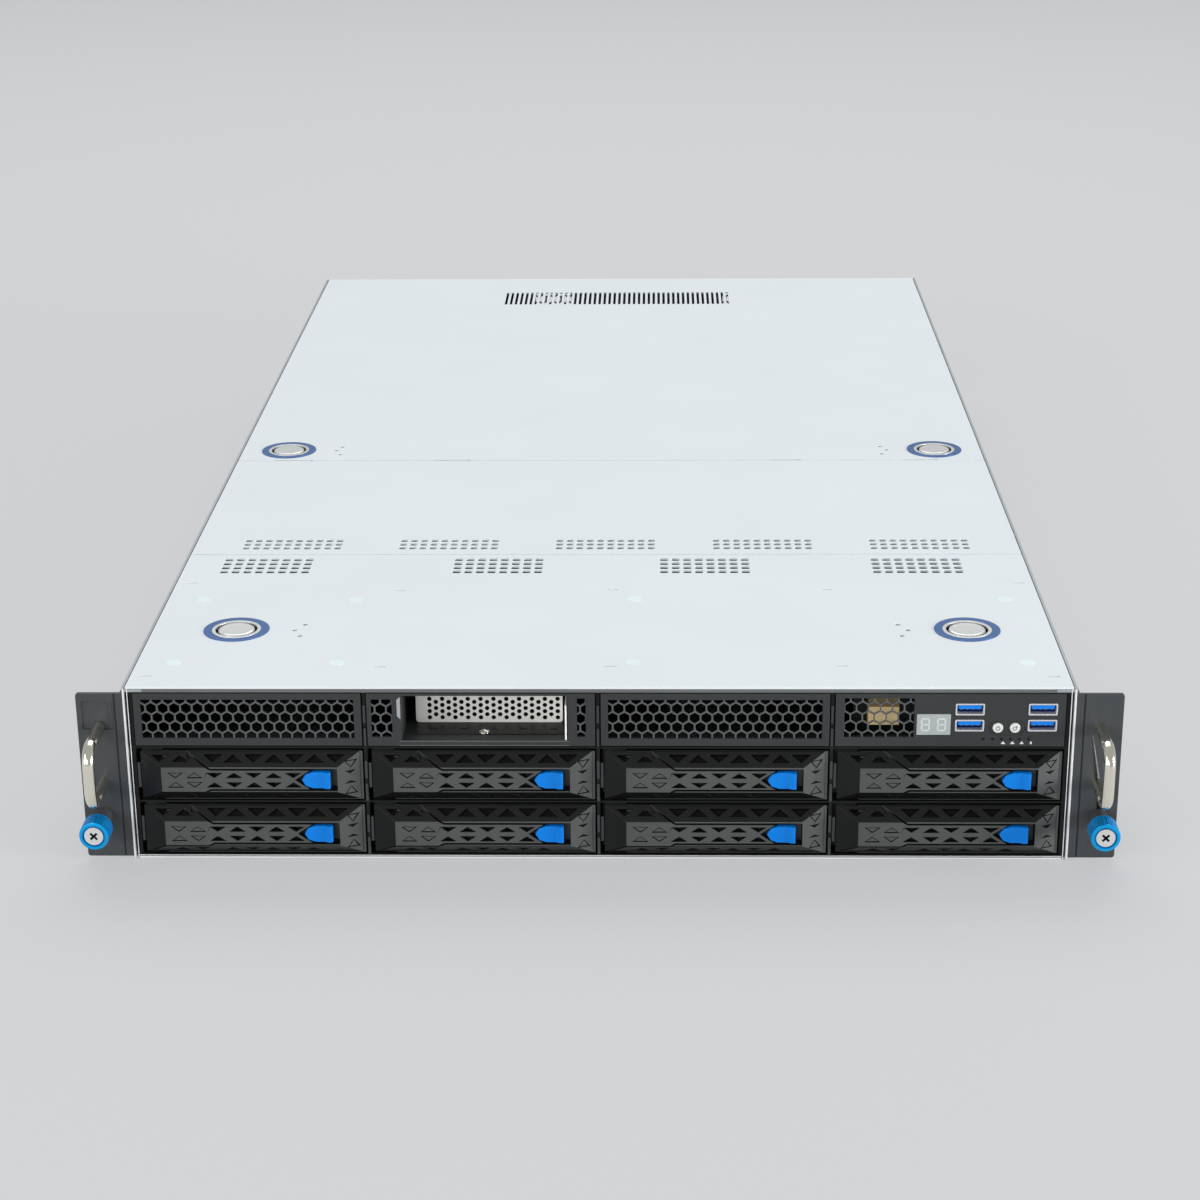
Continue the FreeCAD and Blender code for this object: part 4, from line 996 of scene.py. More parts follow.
def makeTray():                       # the bezel with its rails, and the drive that it carries
    values = trayValues
    parts = {}
    for part in looseParts(nodeCopy("drive_tray_1", "tray")):
        ys = [vertex.co.y for vertex in part.data.vertices]
        parts[max(ys) - min(ys)] = part
    tray, drive = parts[max(parts)], parts[min(parts)]      # the drive is the shorter one
    punches = [topPocket(across, index % 2 == 1) for index, across in enumerate(values["topPockets"])]
    for index, across in enumerate(values["bottomPockets"]):
        place = (trayMiddle + across, values["bottomY"], bayFloor + values["bottomHeight"])
        punches.append(triangle(place, *values["bottomPocket"], values["bottomDepth"], index % 2 == 0,
                                (values["bottomSlope"], 0, 0)))
    islands = []
    tilt = (0, 0, values["facet"])
    for across, height, wide, tall, pointsUp, outlined in values["facetMarks"]:
        depth = values["flatY"] + (across - values["facetStart"]) * math.tan(math.radians(values["facet"]))
        place = (trayMiddle + across, depth, bayFloor + height)
        if outlined:
            punch, island = engrave(place, wide, tall, values["markDepth"], pointsUp, tilt)
            islands.append(island)
        else:
            punch = triangle(place, wide, tall, values["markDepth"], pointsUp, tilt)
        punches.append(punch)
    # the pockets' and marks' cut faces wear near-black, painted shade for the dark vents
    cut(wear(tray, "black_plastic"), punches, "deep_black")
    tray = soften(joined("tray", [tray] + islands), values["edge"])
    paint(tray, "lever_plastic", lambda face: face.material_index == 0 and face.normal.y < -0.5
          and (face.normal.y < -0.985 or face.normal.x > 0.3))      # the flat, and the facet at its right, in a lighter grey that is painted light
    return tray, wear(soften(drive, values["driveEdge"]), "drive_metal")


leverValues = {
    "pockets": (-41.8, -32.2), "trim": (1.2, 0.6), "edge": 0.18,
    "outlines": ((-34.5, 15.2, False), (-25.6, 15.2, True), (-34.5, 10.4, True), (-25.6, 10.4, False)),
    "outline": (7.0, 2.6), "lineDepth": 0.5,
}


def makeLever():
    values = leverValues
    lever = nodeCopy("tray_lever_1", "lever")
    punches = [topPocket(across, index == 1, values["trim"]) for index, across in enumerate(values["pockets"])]
    islands = []
    for across, height, pointsUp in values["outlines"]:
        place = (trayMiddle + across, trayValues["flatY"], bayFloor + height)
        punch, island = engrave(place, *values["outline"], values["lineDepth"], pointsUp)
        punches.append(punch)
        islands.append(island)
    # the pockets' and grooves' cut faces wear near-black, painted shade
    cut(wear(lever, "black_plastic"), punches, "deep_black")
    lever = soften(joined("lever", [lever] + islands), values["edge"])
    # the front flats wear the lighter grey, painted light; the slopes keep the black plastic
    return paint(lever, "lever_plastic", lambda face: face.normal.y < -0.985)


latchValues = {"cuts": (3.6, 2.2), "grip": 2.4, "gripRise": 0.9, "face": 0.1, "edge": 0.35}


def makeLatch():                      # its right end is drawn forward, as a grip for a finger
    values = latchValues
    latch = nodeCopy("tray_latch_1", "latch")
    low, high = boxOf("tray_latch_1")
    for back in values["cuts"]:
        openFaces(latch, lambda face: True)
        bpy.ops.mesh.bisect(plane_co=at(high.x - back, 0, 0), plane_no=(1, 0, 0))
        closeEdit()
    front, right = at(0, low.y + values["face"], 0).y, (high.x - values["grip"]) * mm
    openCorners(latch, lambda place: place.y < front and place.x > right)
    bpy.ops.transform.translate(value=(0, -values["gripRise"] * mm, 0))
    closeEdit()
    return wear(soften(latch, values["edge"], 3, 40), "blue_plastic")


hookValues = {"x": (-52.9, -51.5), "y": (0.9, 2.2), "z": (6.7, 19.3), "edge": 0.2}


def makeHook():                       # the lever's hook, beside its hinge
    values = hookValues
    hook = block("tab", [trayMiddle + x for x in values["x"]], values["y"], [bayFloor + z for z in values["z"]])
    return wear(soften(hook, values["edge"], 1), "charcoal_steel")


tray, drive = makeTray()
trayKit = {                           # a piece, the CAD node that it rides with, its slot, and if it replaces the node
    "tray": (tray, "drive_tray_%d", "black_plastic", True),
    "lever": (makeLever(), "tray_lever_%d", "lever_plastic", True),
    "latch": (makeLatch(), "tray_latch_%d", "blue_plastic", True),
    "tab": (makeHook(), "tray_lever_%d", "black_plastic", False),
    "drive": (drive, "drive_tray_%d", "galvanised_steel", False),
}
for order in range(8, 0, -1):
    shift = boxOf("drive_tray_%d" % order)[0] - trayLow
    for part, (piece, pattern, slot, stands) in trayKit.items():
        node, name = pattern % order, "%s%d" % (part, order)
        piece = copyTo(piece, name, shift) if order > 1 else rename(piece, name)
        fit(piece, node, slot, *([node] if stands else []))
print("drive trays made")

# ---- front modules: honeycombs, the expansion slot and the control panel

def honeycomb(name, x, z, y, values):     # a sheet of six-sided cells that fills x by z, from one inset cell
    pitch, web, thickness = values["pitch"], values["web"], values["thickness"]
    rise = pitch * math.sqrt(0.75)
    start = (x[0] - pitch * values.get("shift", 0.5), z[0] + values.get("lift", 0.0))
    deselectAll()
    bpy.ops.mesh.primitive_circle_add(vertices=6, radius=pitch / math.sqrt(3) * mm, fill_type="NGON",
                                      location=at(start[0], y, start[1]), rotation=(math.pi / 2, 0, 0))
    sheet = settle(name)
    openFaces(sheet, lambda face: True)
    bpy.ops.mesh.inset(thickness=web / 2 * mm)
    bpy.ops.mesh.delete(type="FACE")
    closeEdit()
    repeat(sheet, (pitch / 2, 0, rise), 2)
    repeat(sheet, (pitch, 0, 0), int((x[1] - start[0]) / pitch) + 2)
    repeat(sheet, (0, 0, 2 * rise), int((z[1] - start[1]) / (2 * rise)) + 2)
    openFaces(sheet, lambda face: True)
    bpy.ops.mesh.remove_doubles(threshold=0.01 * mm)
    for place, normal in (((x[0], y, z[0]), (-1, 0, 0)), ((x[1], y, z[0]), (1, 0, 0)),
                          ((x[0], y, z[0]), (0, 0, -1)), ((x[0], y, z[1]), (0, 0, 1))):
        bpy.ops.mesh.select_all(action="SELECT")
        bpy.ops.mesh.bisect(plane_co=at(*place), plane_no=normal, clear_outer=True)
    closeEdit()
    applyModifier(sheet, "SOLIDIFY", thickness=thickness * mm, offset=-1.0)
    return sheet


moduleValues = {
    "front": -0.5, "plate": 2.0, "depth": 11.5, "rim": 1.5, "edge": 0.3, "halfWidth": 52.7,
    "mesh": {"pitch": 5.4, "web": 0.8, "thickness": 0.9, "lift": 1.3}, "meshSetback": 0.5,
    "meshField": (49.3, 61.8, 81.0),  # half its width, its bottom and its top
    "overlap": 0.6, "meshEdge": 0.1,
}


def dressMesh(mesh):
    dress(soften(mesh, moduleValues["meshEdge"], 1), "mesh_plastic", "chassis", "black_plastic")


def moduleShell(name, node, x, windows):      # a hollow box with an open back, and windows in its face
    values = moduleValues
    low, high = boxOf(node)
    front, depth, rim = values["front"], values["depth"], values["rim"]
    back = front + values["plate"]
    shell = block(name, x, (front, depth), (low.z, high.z))
    punches = [block("punch", (x[0] + rim, x[1] - rim), (back, depth + 1), (low.z + rim, high.z - rim))]
    punches += [block("punch", across, (front - 1, back + 1), z) for across, z in windows]
    for punch in punches:
        cut(shell, [punch])
    return shell


def makeVentModule(index, middle):
    values = moduleValues
    half, low, high = values["meshField"]
    outer, overlap = values["halfWidth"], values["overlap"]
    x = (middle - half, middle + half)
    shell = moduleShell("ventFrame%d" % index, "vent_bezels", (middle - outer, middle + outer), [(x, (low, high))])
    dress(soften(shell, values["edge"]), "bezel_plastic", "chassis", "black_plastic", "vent_bezels")
    dressMesh(honeycomb("ventMesh%d" % index, (x[0] - overlap, x[1] + overlap), (low - overlap, high + overlap),
                        values["front"] + values["meshSetback"], values["mesh"]))


slotValues = {
    "slot": ((-91.0, -14.0), (60.0, 83.0)), "wall": 1.0, "overlap": 0.3, "edge": 0.2,
    "strips": {"leftStrip": {"field": ((-104.6, -95.0), (62.4, 81.2)), "shift": 0.6, "lift": 0.4},
               "rightStrip": {"field": ((-9.6, -5.6), (62.6, 81.8)), "shift": 0.13, "lift": -4.3}},
    "stripMesh": {"pitch": 5.3, "web": 0.85, "thickness": 0.9}, "stripSetback": 0.4, "stripOverlap": 0.5,
    "lipStand": 0.3, "lipDepths": (0.6, 0.2), "lipHeights": (0.1, 0.7), "lipEdge": 0.15,
}


def makeSlotModule():
    values = slotValues
    low, high = boxOf("slot_bezel")
    front, back = moduleValues["front"], moduleValues["front"] + moduleValues["plate"]
    x, z = values["slot"]
    wall, stand = values["wall"], values["lipStand"]
    face = block("slotFrame", (low.x, high.x), (front, back), (low.z, high.z))
    for window in [values["slot"]] + [strip["field"] for strip in values["strips"].values()]:
        cut(face, [block("punch", window[0], (front - 1, back + 1), window[1])])
    tunnel = block("tunnel", (x[0] - wall, x[1] + wall), (back - values["overlap"], high.y), (z[0] - wall, z[1]))
    cut(tunnel, [block("punch", x, (front, high.y + 1), (z[0], z[1] + 1))])
    lips = [block("lip", (x[0] - wall, x[1] + wall), (front - stand, front + depth),
                  [level + height for height in values["lipHeights"]])
            for level, depth in zip((z[0], low.z), values["lipDepths"])]
    dress(soften(joined("slotLips", lips), values["lipEdge"]), "mesh_plastic", "chassis", "black_plastic")
    dress(soften(joined("slotFrame", [face, tunnel]), values["edge"]), "bezel_plastic", "chassis", "black_plastic",
          "slot_bezel")
    overlap = values["stripOverlap"]
    for name, strip in values["strips"].items():
        (left, right), (bottom, upper) = strip["field"]
        dressMesh(honeycomb(name, (left - overlap, right + overlap), (bottom - overlap, upper + overlap),
                            front + values["stripSetback"], {**values["stripMesh"], **strip}))


bracketValues = {
    "thickness": 1.0, "ease": 0.6, "bottom": 60.3, "corner": 1.4, "edge": 0.15,
    "hole": 1.05, "step": (6.03, 3.14), "columns": 11, "rows": 4, "first": (-79.6, 62.8),
    "floor": 60.4, "floorEdge": 0.2, "screwHole": 2.9,
    "slots": {"count": 6, "step": 14.0, "first": 8.4, "size": (3.4, 0.8), "behind": 3.2},
    "screw": {"place": (-53.2, 10.8), "radius": 2.5, "sunk": 0.25, "length": 1.1, "cross": (3.0, 0.7),
              "crossDepth": 0.2, "edge": 0.25},
    "spring": {"x": (-92.7, -91.1), "y": (-0.75, -0.45), "z": (71.7, 82.4), "corner": 1.3, "edge": 0.08},
    "strip": {"x": (-15.2, -14.4), "y": (-0.4, 30.0), "z": (60.9, 78.3), "edge": 0.15},
}


def makeBracket():
    values = bracketValues
    low, high = boxOf("slot_bracket")
    plate = block("slotBracket", (low.x - values["ease"], high.x - values["ease"]),
                  (high.y - values["thickness"], high.y), (values["bottom"], high.z))
    bevelEdges(plate, values["corner"], 5, lambda a, b: abs(a.y - b.y) > 0.5 * mm)
    (stepX, stepZ), columns, rows = values["step"], values["columns"], values["rows"]
    punches = []
    for across, up, count, lines in ((0, 0, columns, rows), (stepX / 2, stepZ / 2, columns - 1, rows - 1)):
        punch = rod("punch", (values["first"][0] + across, high.y, values["first"][1] + up), values["hole"], 6, "Y",
                    sides=14)
        repeat(punch, (stepX, 0, 0), count)
        punches.append(repeat(punch, (0, 0, stepZ), lines))
    # the holes' cut faces wear near-black, painted shade
    # the plate's near-white is partly its plating and partly painted light
    cut(wear(plate, "plated_steel"), punches, "deep_black")
    fit(soften(plate, values["edge"], 1), "chassis", "bright_steel", "slot_bracket")


def makeSlotFloor():                  # the dark floor under the bracket, with its slots and its screw
    values, slots, screw = bracketValues, bracketValues["slots"], bracketValues["screw"]
    low, high = boxOf("slot_bracket")
    floor = values["floor"]
    across, depth = screw["place"]
    wide, deep = slots["size"]
    foot = block("slotFoot", (low.x, high.x), (low.y, high.y), (floor - values["thickness"], floor))
    cut(foot, [rod("punch", (across, depth, floor), values["screwHole"], 3, "Z", sides=24)])
    punches = [block("punch", span(low.x + slots["first"] + index * slots["step"], wide),
                     span(depth + slots["behind"], deep), (floor - 2, floor + 1)) for index in range(slots["count"])]
    # the slots' cut faces wear near-black, painted shade
    cut(wear(foot, "black_steel"), punches, "deep_black")
    fit(soften(foot, values["floorEdge"], 1), "chassis", "black_steel")
    head = rod("slotScrew", (across, depth, floor - screw["sunk"]), screw["radius"], screw["length"], "Z", sides=28)
    for wide, deep in (screw["cross"], screw["cross"][::-1]):
        cut(head, [block("punch", span(across, wide), span(depth, deep), (floor - screw["crossDepth"], floor + 2))])
    dress(soften(head, screw["edge"]), "bright_steel", "chassis", "bright_steel")


def makeSlotTrim():                   # the leaf spring at the slot's left, and the bright strip at its right
    values, strip = bracketValues["spring"], bracketValues["strip"]
    spring = block("slotSpring", values["x"], values["y"], values["z"])
    left = (values["x"][0] + 0.1) * mm
    bevelEdges(spring, values["corner"], 1, lambda a, b: abs(a.y - b.y) > 0.1 * mm and max(a.x, b.x) < left)
    dress(soften(spring, values["edge"], 1), "galvanised_steel", "chassis", "bright_steel")
    piece = block("slotStrip", strip["x"], strip["y"], strip["z"])
    # the strip wears the bracket's near-white, partly painted light
    dress(soften(piece, strip["edge"], 1), "plated_steel", "chassis", "bright_steel")


ventLow, ventHigh = boxOf("vent_bezels")      # its two modules lie at the ends of this box
makeVentModule(1, ventLow.x + moduleValues["halfWidth"])
makeVentModule(2, ventHigh.x - moduleValues["halfWidth"])
makeSlotModule()
makeBracket()
makeSlotFloor()
makeSlotTrim()
print("vent and slot modules made")

panelValues = {
    "mesh": {"pitch": 5.5, "web": 0.7, "thickness": 0.9, "shift": 0.9, "lift": 0.8}, "meshY": -0.2,
    "meshField": ((113.4, 145.4), (62.6, 82.0)), "edge": 0.14, "cut": (-3, 3), "displayGap": 0.2,
    "button": 2.4, "buttonGap": 0.3,
    "pill": {"x": (179.8, 196.5), "z": (63.7, 70.9), "y": (-0.8, -0.25), "line": 0.4, "corners": (3.55, 3.2)},
    "lights": (177.4, 181.7, 185.8, 190.0, 194.0, 198.3), "lightHeight": 61.75,
    "light": 0.75, "lightMiddle": -0.5, "lightDepth": 2.0,
}
usbValues = {
    "size": (13.4, 5.8), "wall": 0.72, "gap": 0.2, "columns": (170.9, 204.3), "rows": (68.5, 76.5), "edge": 0.12,
    "corners": {"hole": 0.7, "shell": 0.6, "mouth": 0.4},
    "lining": {"ease": 0.02, "front": 3.2, "back": 0.8, "dish": (0.5, 0.5)},
    "tongue": {"size": (10.6, 1.8), "y": (0.35, 4.5), "drop": 0.25, "edge": 0.18},
    "contacts": {"first": 3.9, "width": 1.0, "step": 2.6, "count": 4, "y": (0.6, 3.5), "drops": (0.45, 0.2),
                 "edge": 0.05},
}


def makePanel():
    values, usb, groove = panelValues, usbValues, panelValues["pill"]
    low, high = boxOf("control_bezel")
    shell = moduleShell("panelFrame", "control_bezel", (low.x, high.x), [values["meshField"]])
    glassLow, glassHigh = boxOf("code_display")
    gap = values["displayGap"]
    punches = [block("punch", (glassLow.x - gap, glassHigh.x + gap), values["cut"],
                     (glassLow.z - gap, glassHigh.z + gap))]
    for column in usb["columns"]:
        for row in usb["rows"]:
            punches.append(pill("punch", span(column, usb["size"][0] + 2 * usb["gap"]), values["cut"],
                                span(row, usb["size"][1] + 2 * usb["gap"]), usb["corners"]["hole"]))
    for node in ("power_button", "locate_button"):
        buttonLow, buttonHigh = boxOf(node)
        middle = (buttonLow + buttonHigh) / 2
        punches.append(rod("punch", (middle.x, 0, middle.z), values["button"] + values["buttonGap"], 6, "Y", sides=36))
    for light in values["lights"]:
        punches.append(rod("punch", (light, values["lightMiddle"], values["lightHeight"]), values["light"],
                           values["lightDepth"], "Y", sides=16))
    line, (left, right), (bottom, upper) = groove["line"], groove["x"], groove["z"]
    outer = pill("outer", (left, right), groove["y"], (bottom, upper), groove["corners"][0])
    inner = pill("inner", (left + line, right - line), values["cut"], (bottom + line, upper - line),
                 groove["corners"][1])
    cut(outer, [inner])
    cut(shell, punches + [outer])
    dress(soften(shell, values["edge"]), "bezel_plastic", "chassis", "black_plastic", "control_bezel")
    overlap = moduleValues["overlap"]
    (left, right), (bottom, upper) = values["meshField"]
    dressMesh(honeycomb("panelMesh", (left - overlap, right + overlap), (bottom - overlap, upper + overlap),
                        values["meshY"], values["mesh"]))


digitValues = {"size": (4.3, 6.6), "stroke": 0.85, "middles": (150.6, 158.0), "y": (-0.03, 0.2), "bevel": 1.3,
               "barGap": 0.5, "edge": 0.06, "glassEdge": 0.25}


def makeDisplay():                    # the glass, with two unlit digit places of seven bars each
    values = digitValues
    low, high = boxOf("code_display")
    glass = block("codeDisplay", (low.x, high.x), (low.y, high.y), (low.z, high.z))
    dress(soften(glass, values["glassEdge"]), "display_glass", "chassis", "display_glass", "code_display")
    (wide, tall), stroke = values["size"], values["stroke"]
    y, centre = [low.y + depth for depth in values["y"]], (low.z + high.z) / 2
    bars = []
    for middle in values["middles"]:
        for level in (-1, 0, 1):
            bars.append(block("bar", span(middle, wide - values["bevel"] * stroke), y,
                              span(centre + level * (tall - stroke) / 2, stroke)))
        for side in (-1, 1):
            for level in (-1, 1):
                bars.append(block("bar", span(middle + side * (wide - stroke) / 2, stroke), y,
                                  span(centre + level * (tall - stroke) / 4, (tall - stroke) / 2 - values["barGap"])))
    dress(soften(joined("displayDigits", bars), values["edge"], 1), "digit_grey", "chassis", "display_glass")


def makeSocket(index, column, row):
    values = usbValues
    lining, tongue, contacts = (values[key] for key in ("lining", "tongue", "contacts"))
    (wide, tall), wall = values["size"], values["wall"]
    low, high = boxOf("usb_ports")
    innerWide, innerTall, upper = wide - 2 * wall, tall - 2 * wall, row + tall / 2 - wall
    shell = pill("usbShell%d" % index, span(column, wide), (low.y, high.y), span(row, tall), values["corners"]["shell"])
    cut(shell, [pill("punch", span(column, innerWide), (low.y - 1, high.y - 1), span(row, innerTall),
                     values["corners"]["mouth"])])
    dress(soften(shell, values["edge"]), "socket_steel", "chassis", "socket_steel", "usb_ports")
    # the lining behind the tongue wears dark navy: painted shade inside the socket
    piece = block("usbLining%d" % index, span(column, innerWide - lining["ease"]),
                  (low.y + lining["front"], high.y - lining["back"]), span(row, innerTall - lining["ease"]))
    dress(insetFaces(piece, facesFront, lining["dish"]), "port_deep", "chassis", "blue_plastic")
    tongueWide, tongueTall = tongue["size"]
    piece = block("usbTongue%d" % index, span(column, tongueWide), [low.y + depth for depth in tongue["y"]],
                  (upper - tongue["drop"] - tongueTall, upper - tongue["drop"]))
    dress(soften(piece, tongue["edge"]), "port_blue", "chassis", "blue_plastic")
    piece = block("usbContacts%d" % index, span(column - contacts["first"], contacts["width"]),
                  [low.y + depth for depth in contacts["y"]], [upper - drop - tongueTall for drop in contacts["drops"]])
    repeat(piece, (contacts["step"], 0, 0), contacts["count"])
    dress(soften(piece, contacts["edge"], 1), "contact_gold", "chassis", "bright_steel")


capValues = {"back": 1.3, "round": 0.35, "flange": 1.0, "flangeEdge": 0.15}
signValues = {                        # plain signs: an open ring with a stroke, and a ring with a dot
    "y": (-0.03, 0.1), "sides": 28,
    "power": {"ring": (0.75, 1.05), "drop": 0.1, "mouth": 0.75, "mouthZ": (0.2, 2), "stroke": 0.3, "strokeTop": 1.25},
    "locate": {"ring": (0.65, 0.95), "shift": 0.15, "dot": 0.36, "dotShift": 0.75, "dotMiddle": 0.035,
               "dotLength": 0.13},
}


def makePanelButton(node, name):
    values = capValues
    low, high = boxOf(node)
    middle = (low + high) / 2
    cap = rod(name, (middle.x, (low.y + values["back"]) / 2, middle.z), panelValues["button"],
              values["back"] - low.y, "Y", sides=40)
    smooth(bevelFaces(cap, values["round"], 3, facesFront), 30)
    flange = block("flange", (low.x, high.x), (high.y - values["flange"], high.y), (low.z, high.z))
    cap = joined(name, [cap, soften(flange, values["flangeEdge"], 1)])
    dress(cap, "white_plastic", node, "white_plastic", node)
    near, far = (low.y + depth for depth in signValues["y"])
    if node == "power_button":
        name, sign = "powerSign", signValues["power"]
        place = (middle.x, (near + far) / 2, middle.z - sign["drop"])
        ring = flatRing(name, place, sign["ring"], far - near, "Y", signValues["sides"])
        mouthLow, mouthHigh = sign["mouthZ"]
        cut(ring, [block("punch", span(middle.x, sign["mouth"]), (low.y - 1, low.y + 1),
                         (middle.z + mouthLow, middle.z + mouthHigh))])
        mark = block("stroke", span(middle.x, sign["stroke"]), (near, far), (middle.z, middle.z + sign["strokeTop"]))
    else:
        name, sign = "locateSign", signValues["locate"]
        shift, dotShift = sign["shift"], sign["dotShift"]
        place = (middle.x - shift, (near + far) / 2, middle.z - shift)
        ring = flatRing(name, place, sign["ring"], far - near, "Y", signValues["sides"])
        mark = rod("stroke", (middle.x + dotShift, low.y + sign["dotMiddle"], middle.z + dotShift), sign["dot"],
                   sign["dotLength"], "Y", sides=16)
    dress(joined(name, [ring, mark]), "sign_grey", node, "white_plastic")


markValues = {
    "places": ((186.6, 1.9), (190.9, 1.9), (195.2, 1.7), (199.4, 1.0)), "height": 60.0, "y": (-0.53, -0.45),
    "levels": (-0.75, -0.2, 0.45), "dot": {"radius": 0.45, "length": 0.08, "middle": -0.49, "up": 0.1}, "edge": 0.03,
}
coilValues = {"x": (124.6, 139.0), "y": (4.6, 11.2), "z": (66.6, 81.4), "split": 75.6, "rim": 0.9, "dish": (0.3, 0.4),
              "edge": 0.25, "boardEdge": 0.15}


def makeMarks():                      # plain status marks under the light holes: three figures and a dot
    values, dot = markValues, markValues["dot"]
    foot, waist, head = (values["height"] + level for level in values["levels"])
    marks = []
    for across, wide in values["places"]:
        marks.append(block("mark", span(across, wide), values["y"], (foot, waist)))
        if (across, wide) != values["places"][-1]:
            marks.append(block("mark", span(across, wide * 0.5), values["y"], (waist, head)))
        else:
            marks.append(rod("mark", (across, dot["middle"], values["height"] + dot["up"]), dot["radius"],
                             dot["length"], "Y", sides=14))
    dress(soften(joined("statusMarks", marks), values["edge"], 1), "white_plastic", "chassis", "white_plastic")


def makeBoardAndCoil():               # the coil stands behind the control module's mesh
    values = coilValues
    board, plainCoil = sorted(looseParts(nodeCopy("front_io_board", "frontBoard")),
                              key=lambda part: min(vertex.co.x for vertex in part.data.vertices))
    bpy.data.objects.remove(plainCoil)
    dress(soften(board, values["boardEdge"], 1), "board_black", "chassis", "circuit_board", "front_io_board")
    for name, z, finish in (("coilBase", (values["z"][0], values["split"]), "cream_sleeve"),
                            ("coilTop", (values["split"], values["z"][1]), "tape_brown")):
        coil = block(name, values["x"], values["y"], z)
        openFaces(coil, facesFront)
        bpy.ops.mesh.inset(thickness=values["rim"] * mm)
        bpy.ops.mesh.inset(thickness=values["dish"][0] * mm, depth=-values["dish"][1] * mm)
        bpy.ops.mesh.subdivide(number_cuts=2)
        closeEdit()
        dress(soften(coil, values["edge"]), finish, "chassis", "circuit_board")


makePanel()
makeDisplay()
for index, (column, row) in enumerate(((x, z) for x in usbValues["columns"] for z in usbValues["rows"]), 1):
    makeSocket(index, column, row)
makePanelButton("power_button", "powerButton")
makePanelButton("locate_button", "locateButton")
makeMarks()
makeBoardAndCoil()
print("control panel made")

# ---- the rear: panel, slot covers, ports and the two power supplies

rearValues = {
    "mesh": {"pitch": 5.6, "web": 1.1, "thickness": 0.9}, "meshDepth": 1.05, "overlap": 0.6, "edge": 0.25,
    "fields": (((-64.0, -36.0), (9.0, 79.0)), ((76.0, 132.0), (9.0, 79.0)), ((-210.0, -174.0), (34.0, 79.0))),
    "screw": {"radius": 2.3, "length": 0.8, "middle": 0.4, "cross": (3.0, 0.65), "crossFloor": 0.45, "edge": 0.22},
}
blankValues = {
    "size": (93.0, 9.6), "columns": (-120.0, 20.0), "rows": (30.0, 50.5, 71.0), "depths": (1.1, 0.3), "corner": 1.2,
    "edge": 0.15, "vent": (5.2, 2.0), "ventCorner": 0.95, "ventStep": (6.6, 3.8), "vents": (11, 2),
    "ventShift": (-4, -1.9), "screwInset": 5, "screwDepth": 0.35,
}


def screwHead(name, x, y, z):         # a pan head that looks to the rear, with a cross in it
    values = rearValues["screw"]
    head = rod(name, (x, y + values["middle"], z), values["radius"], values["length"], "Y", sides=28)
    arms = [block("punch", span(x, wide), (y + values["crossFloor"], y + 2), span(z, tall))
            for wide, tall in (values["cross"], values["cross"][::-1])]
    wear(head, "bright_steel")
    for arm in arms:
        cut(head, [arm])
    return soften(head, values["edge"])


def makeRearPanel():
    values, overlap = rearValues, rearValues["overlap"]
    rear = boxOf("rear_panel")[1].y
    panel = nodeCopy("rear_panel", "rearPanel", None)
    cut(panel, [block("punch", (x[0] + overlap, x[1] - overlap), (rear - 3, rear + 1), (z[0] + overlap, z[1] - overlap))
                for x, z in values["fields"]])
    dress(soften(panel, values["edge"]), "galvanised_steel", "chassis", "galvanised_steel", "rear_panel")
    for order, (x, z) in enumerate(values["fields"], 1):
        mesh = honeycomb("rearMesh%d" % order, x, z, rear - values["meshDepth"], values["mesh"])
        dress(mesh, "galvanised_steel", "chassis", "galvanised_steel")


def makeBlanks():                     # one slot cover with its screw, and a copy of both for each opening
    values = blankValues
    rear = boxOf("rear_panel")[1].y
    (wide, tall), (ventWide, ventTall), (shiftX, shiftZ) = values["size"], values["vent"], values["ventShift"]
    (stepX, stepZ), (columns, rows), (deep, shallow) = values["ventStep"], values["vents"], values["depths"]
    x, z = values["columns"][0], values["rows"][0]
    cover = block("slotCover", span(x, wide), (rear - deep, rear - shallow), span(z, tall))
    bevelEdges(cover, values["corner"], 4, lambda a, b: abs(a.y - b.y) > 0.3 * mm)
    vent = pill("punch", span(x - (columns - 1) * stepX / 2 + shiftX, ventWide), (rear - 3, rear + 1),
                span(z + shiftZ, ventTall), values["ventCorner"])
    repeat(vent, (stepX, 0, 0), columns)
    repeat(vent, (0, 0, stepZ), rows)
    # the vents' cut faces wear near-black, painted shade
    cut(wear(cover, "galvanised_steel"), [vent], "deep_black")
    soften(cover, values["edge"], 1)
    screw = screwHead("coverScrew", x + wide / 2 - values["screwInset"], rear - values["screwDepth"], z)
    openings = [(column - x, 0, row - z) for column in values["columns"] for row in values["rows"]]
    for order, shift in enumerate(openings[1:], 2):
        fit(copyTo(cover, "slotCover%d" % order, shift), "chassis", "galvanised_steel")
        fit(copyTo(screw, "slotCoverScrew%d" % order, shift), "chassis", "bright_steel")
    fit(cover, "chassis", "galvanised_steel")
    fit(screw, "chassis", "bright_steel")


portValues = {
    "edge": 0.25, "contacts": 8, "pitch": 1.02, "contactWidth": 0.45, "contactDepths": (9.0, 2.0),
    "contactHeights": (1.6, 2.6), "contactBend": 0.5,
    "lamp": (2.6, 1.3), "lampShift": 5.4, "lampDrop": 1.3, "lampDepths": (-0.6, 0.12), "lampEdge": 0.2,
}


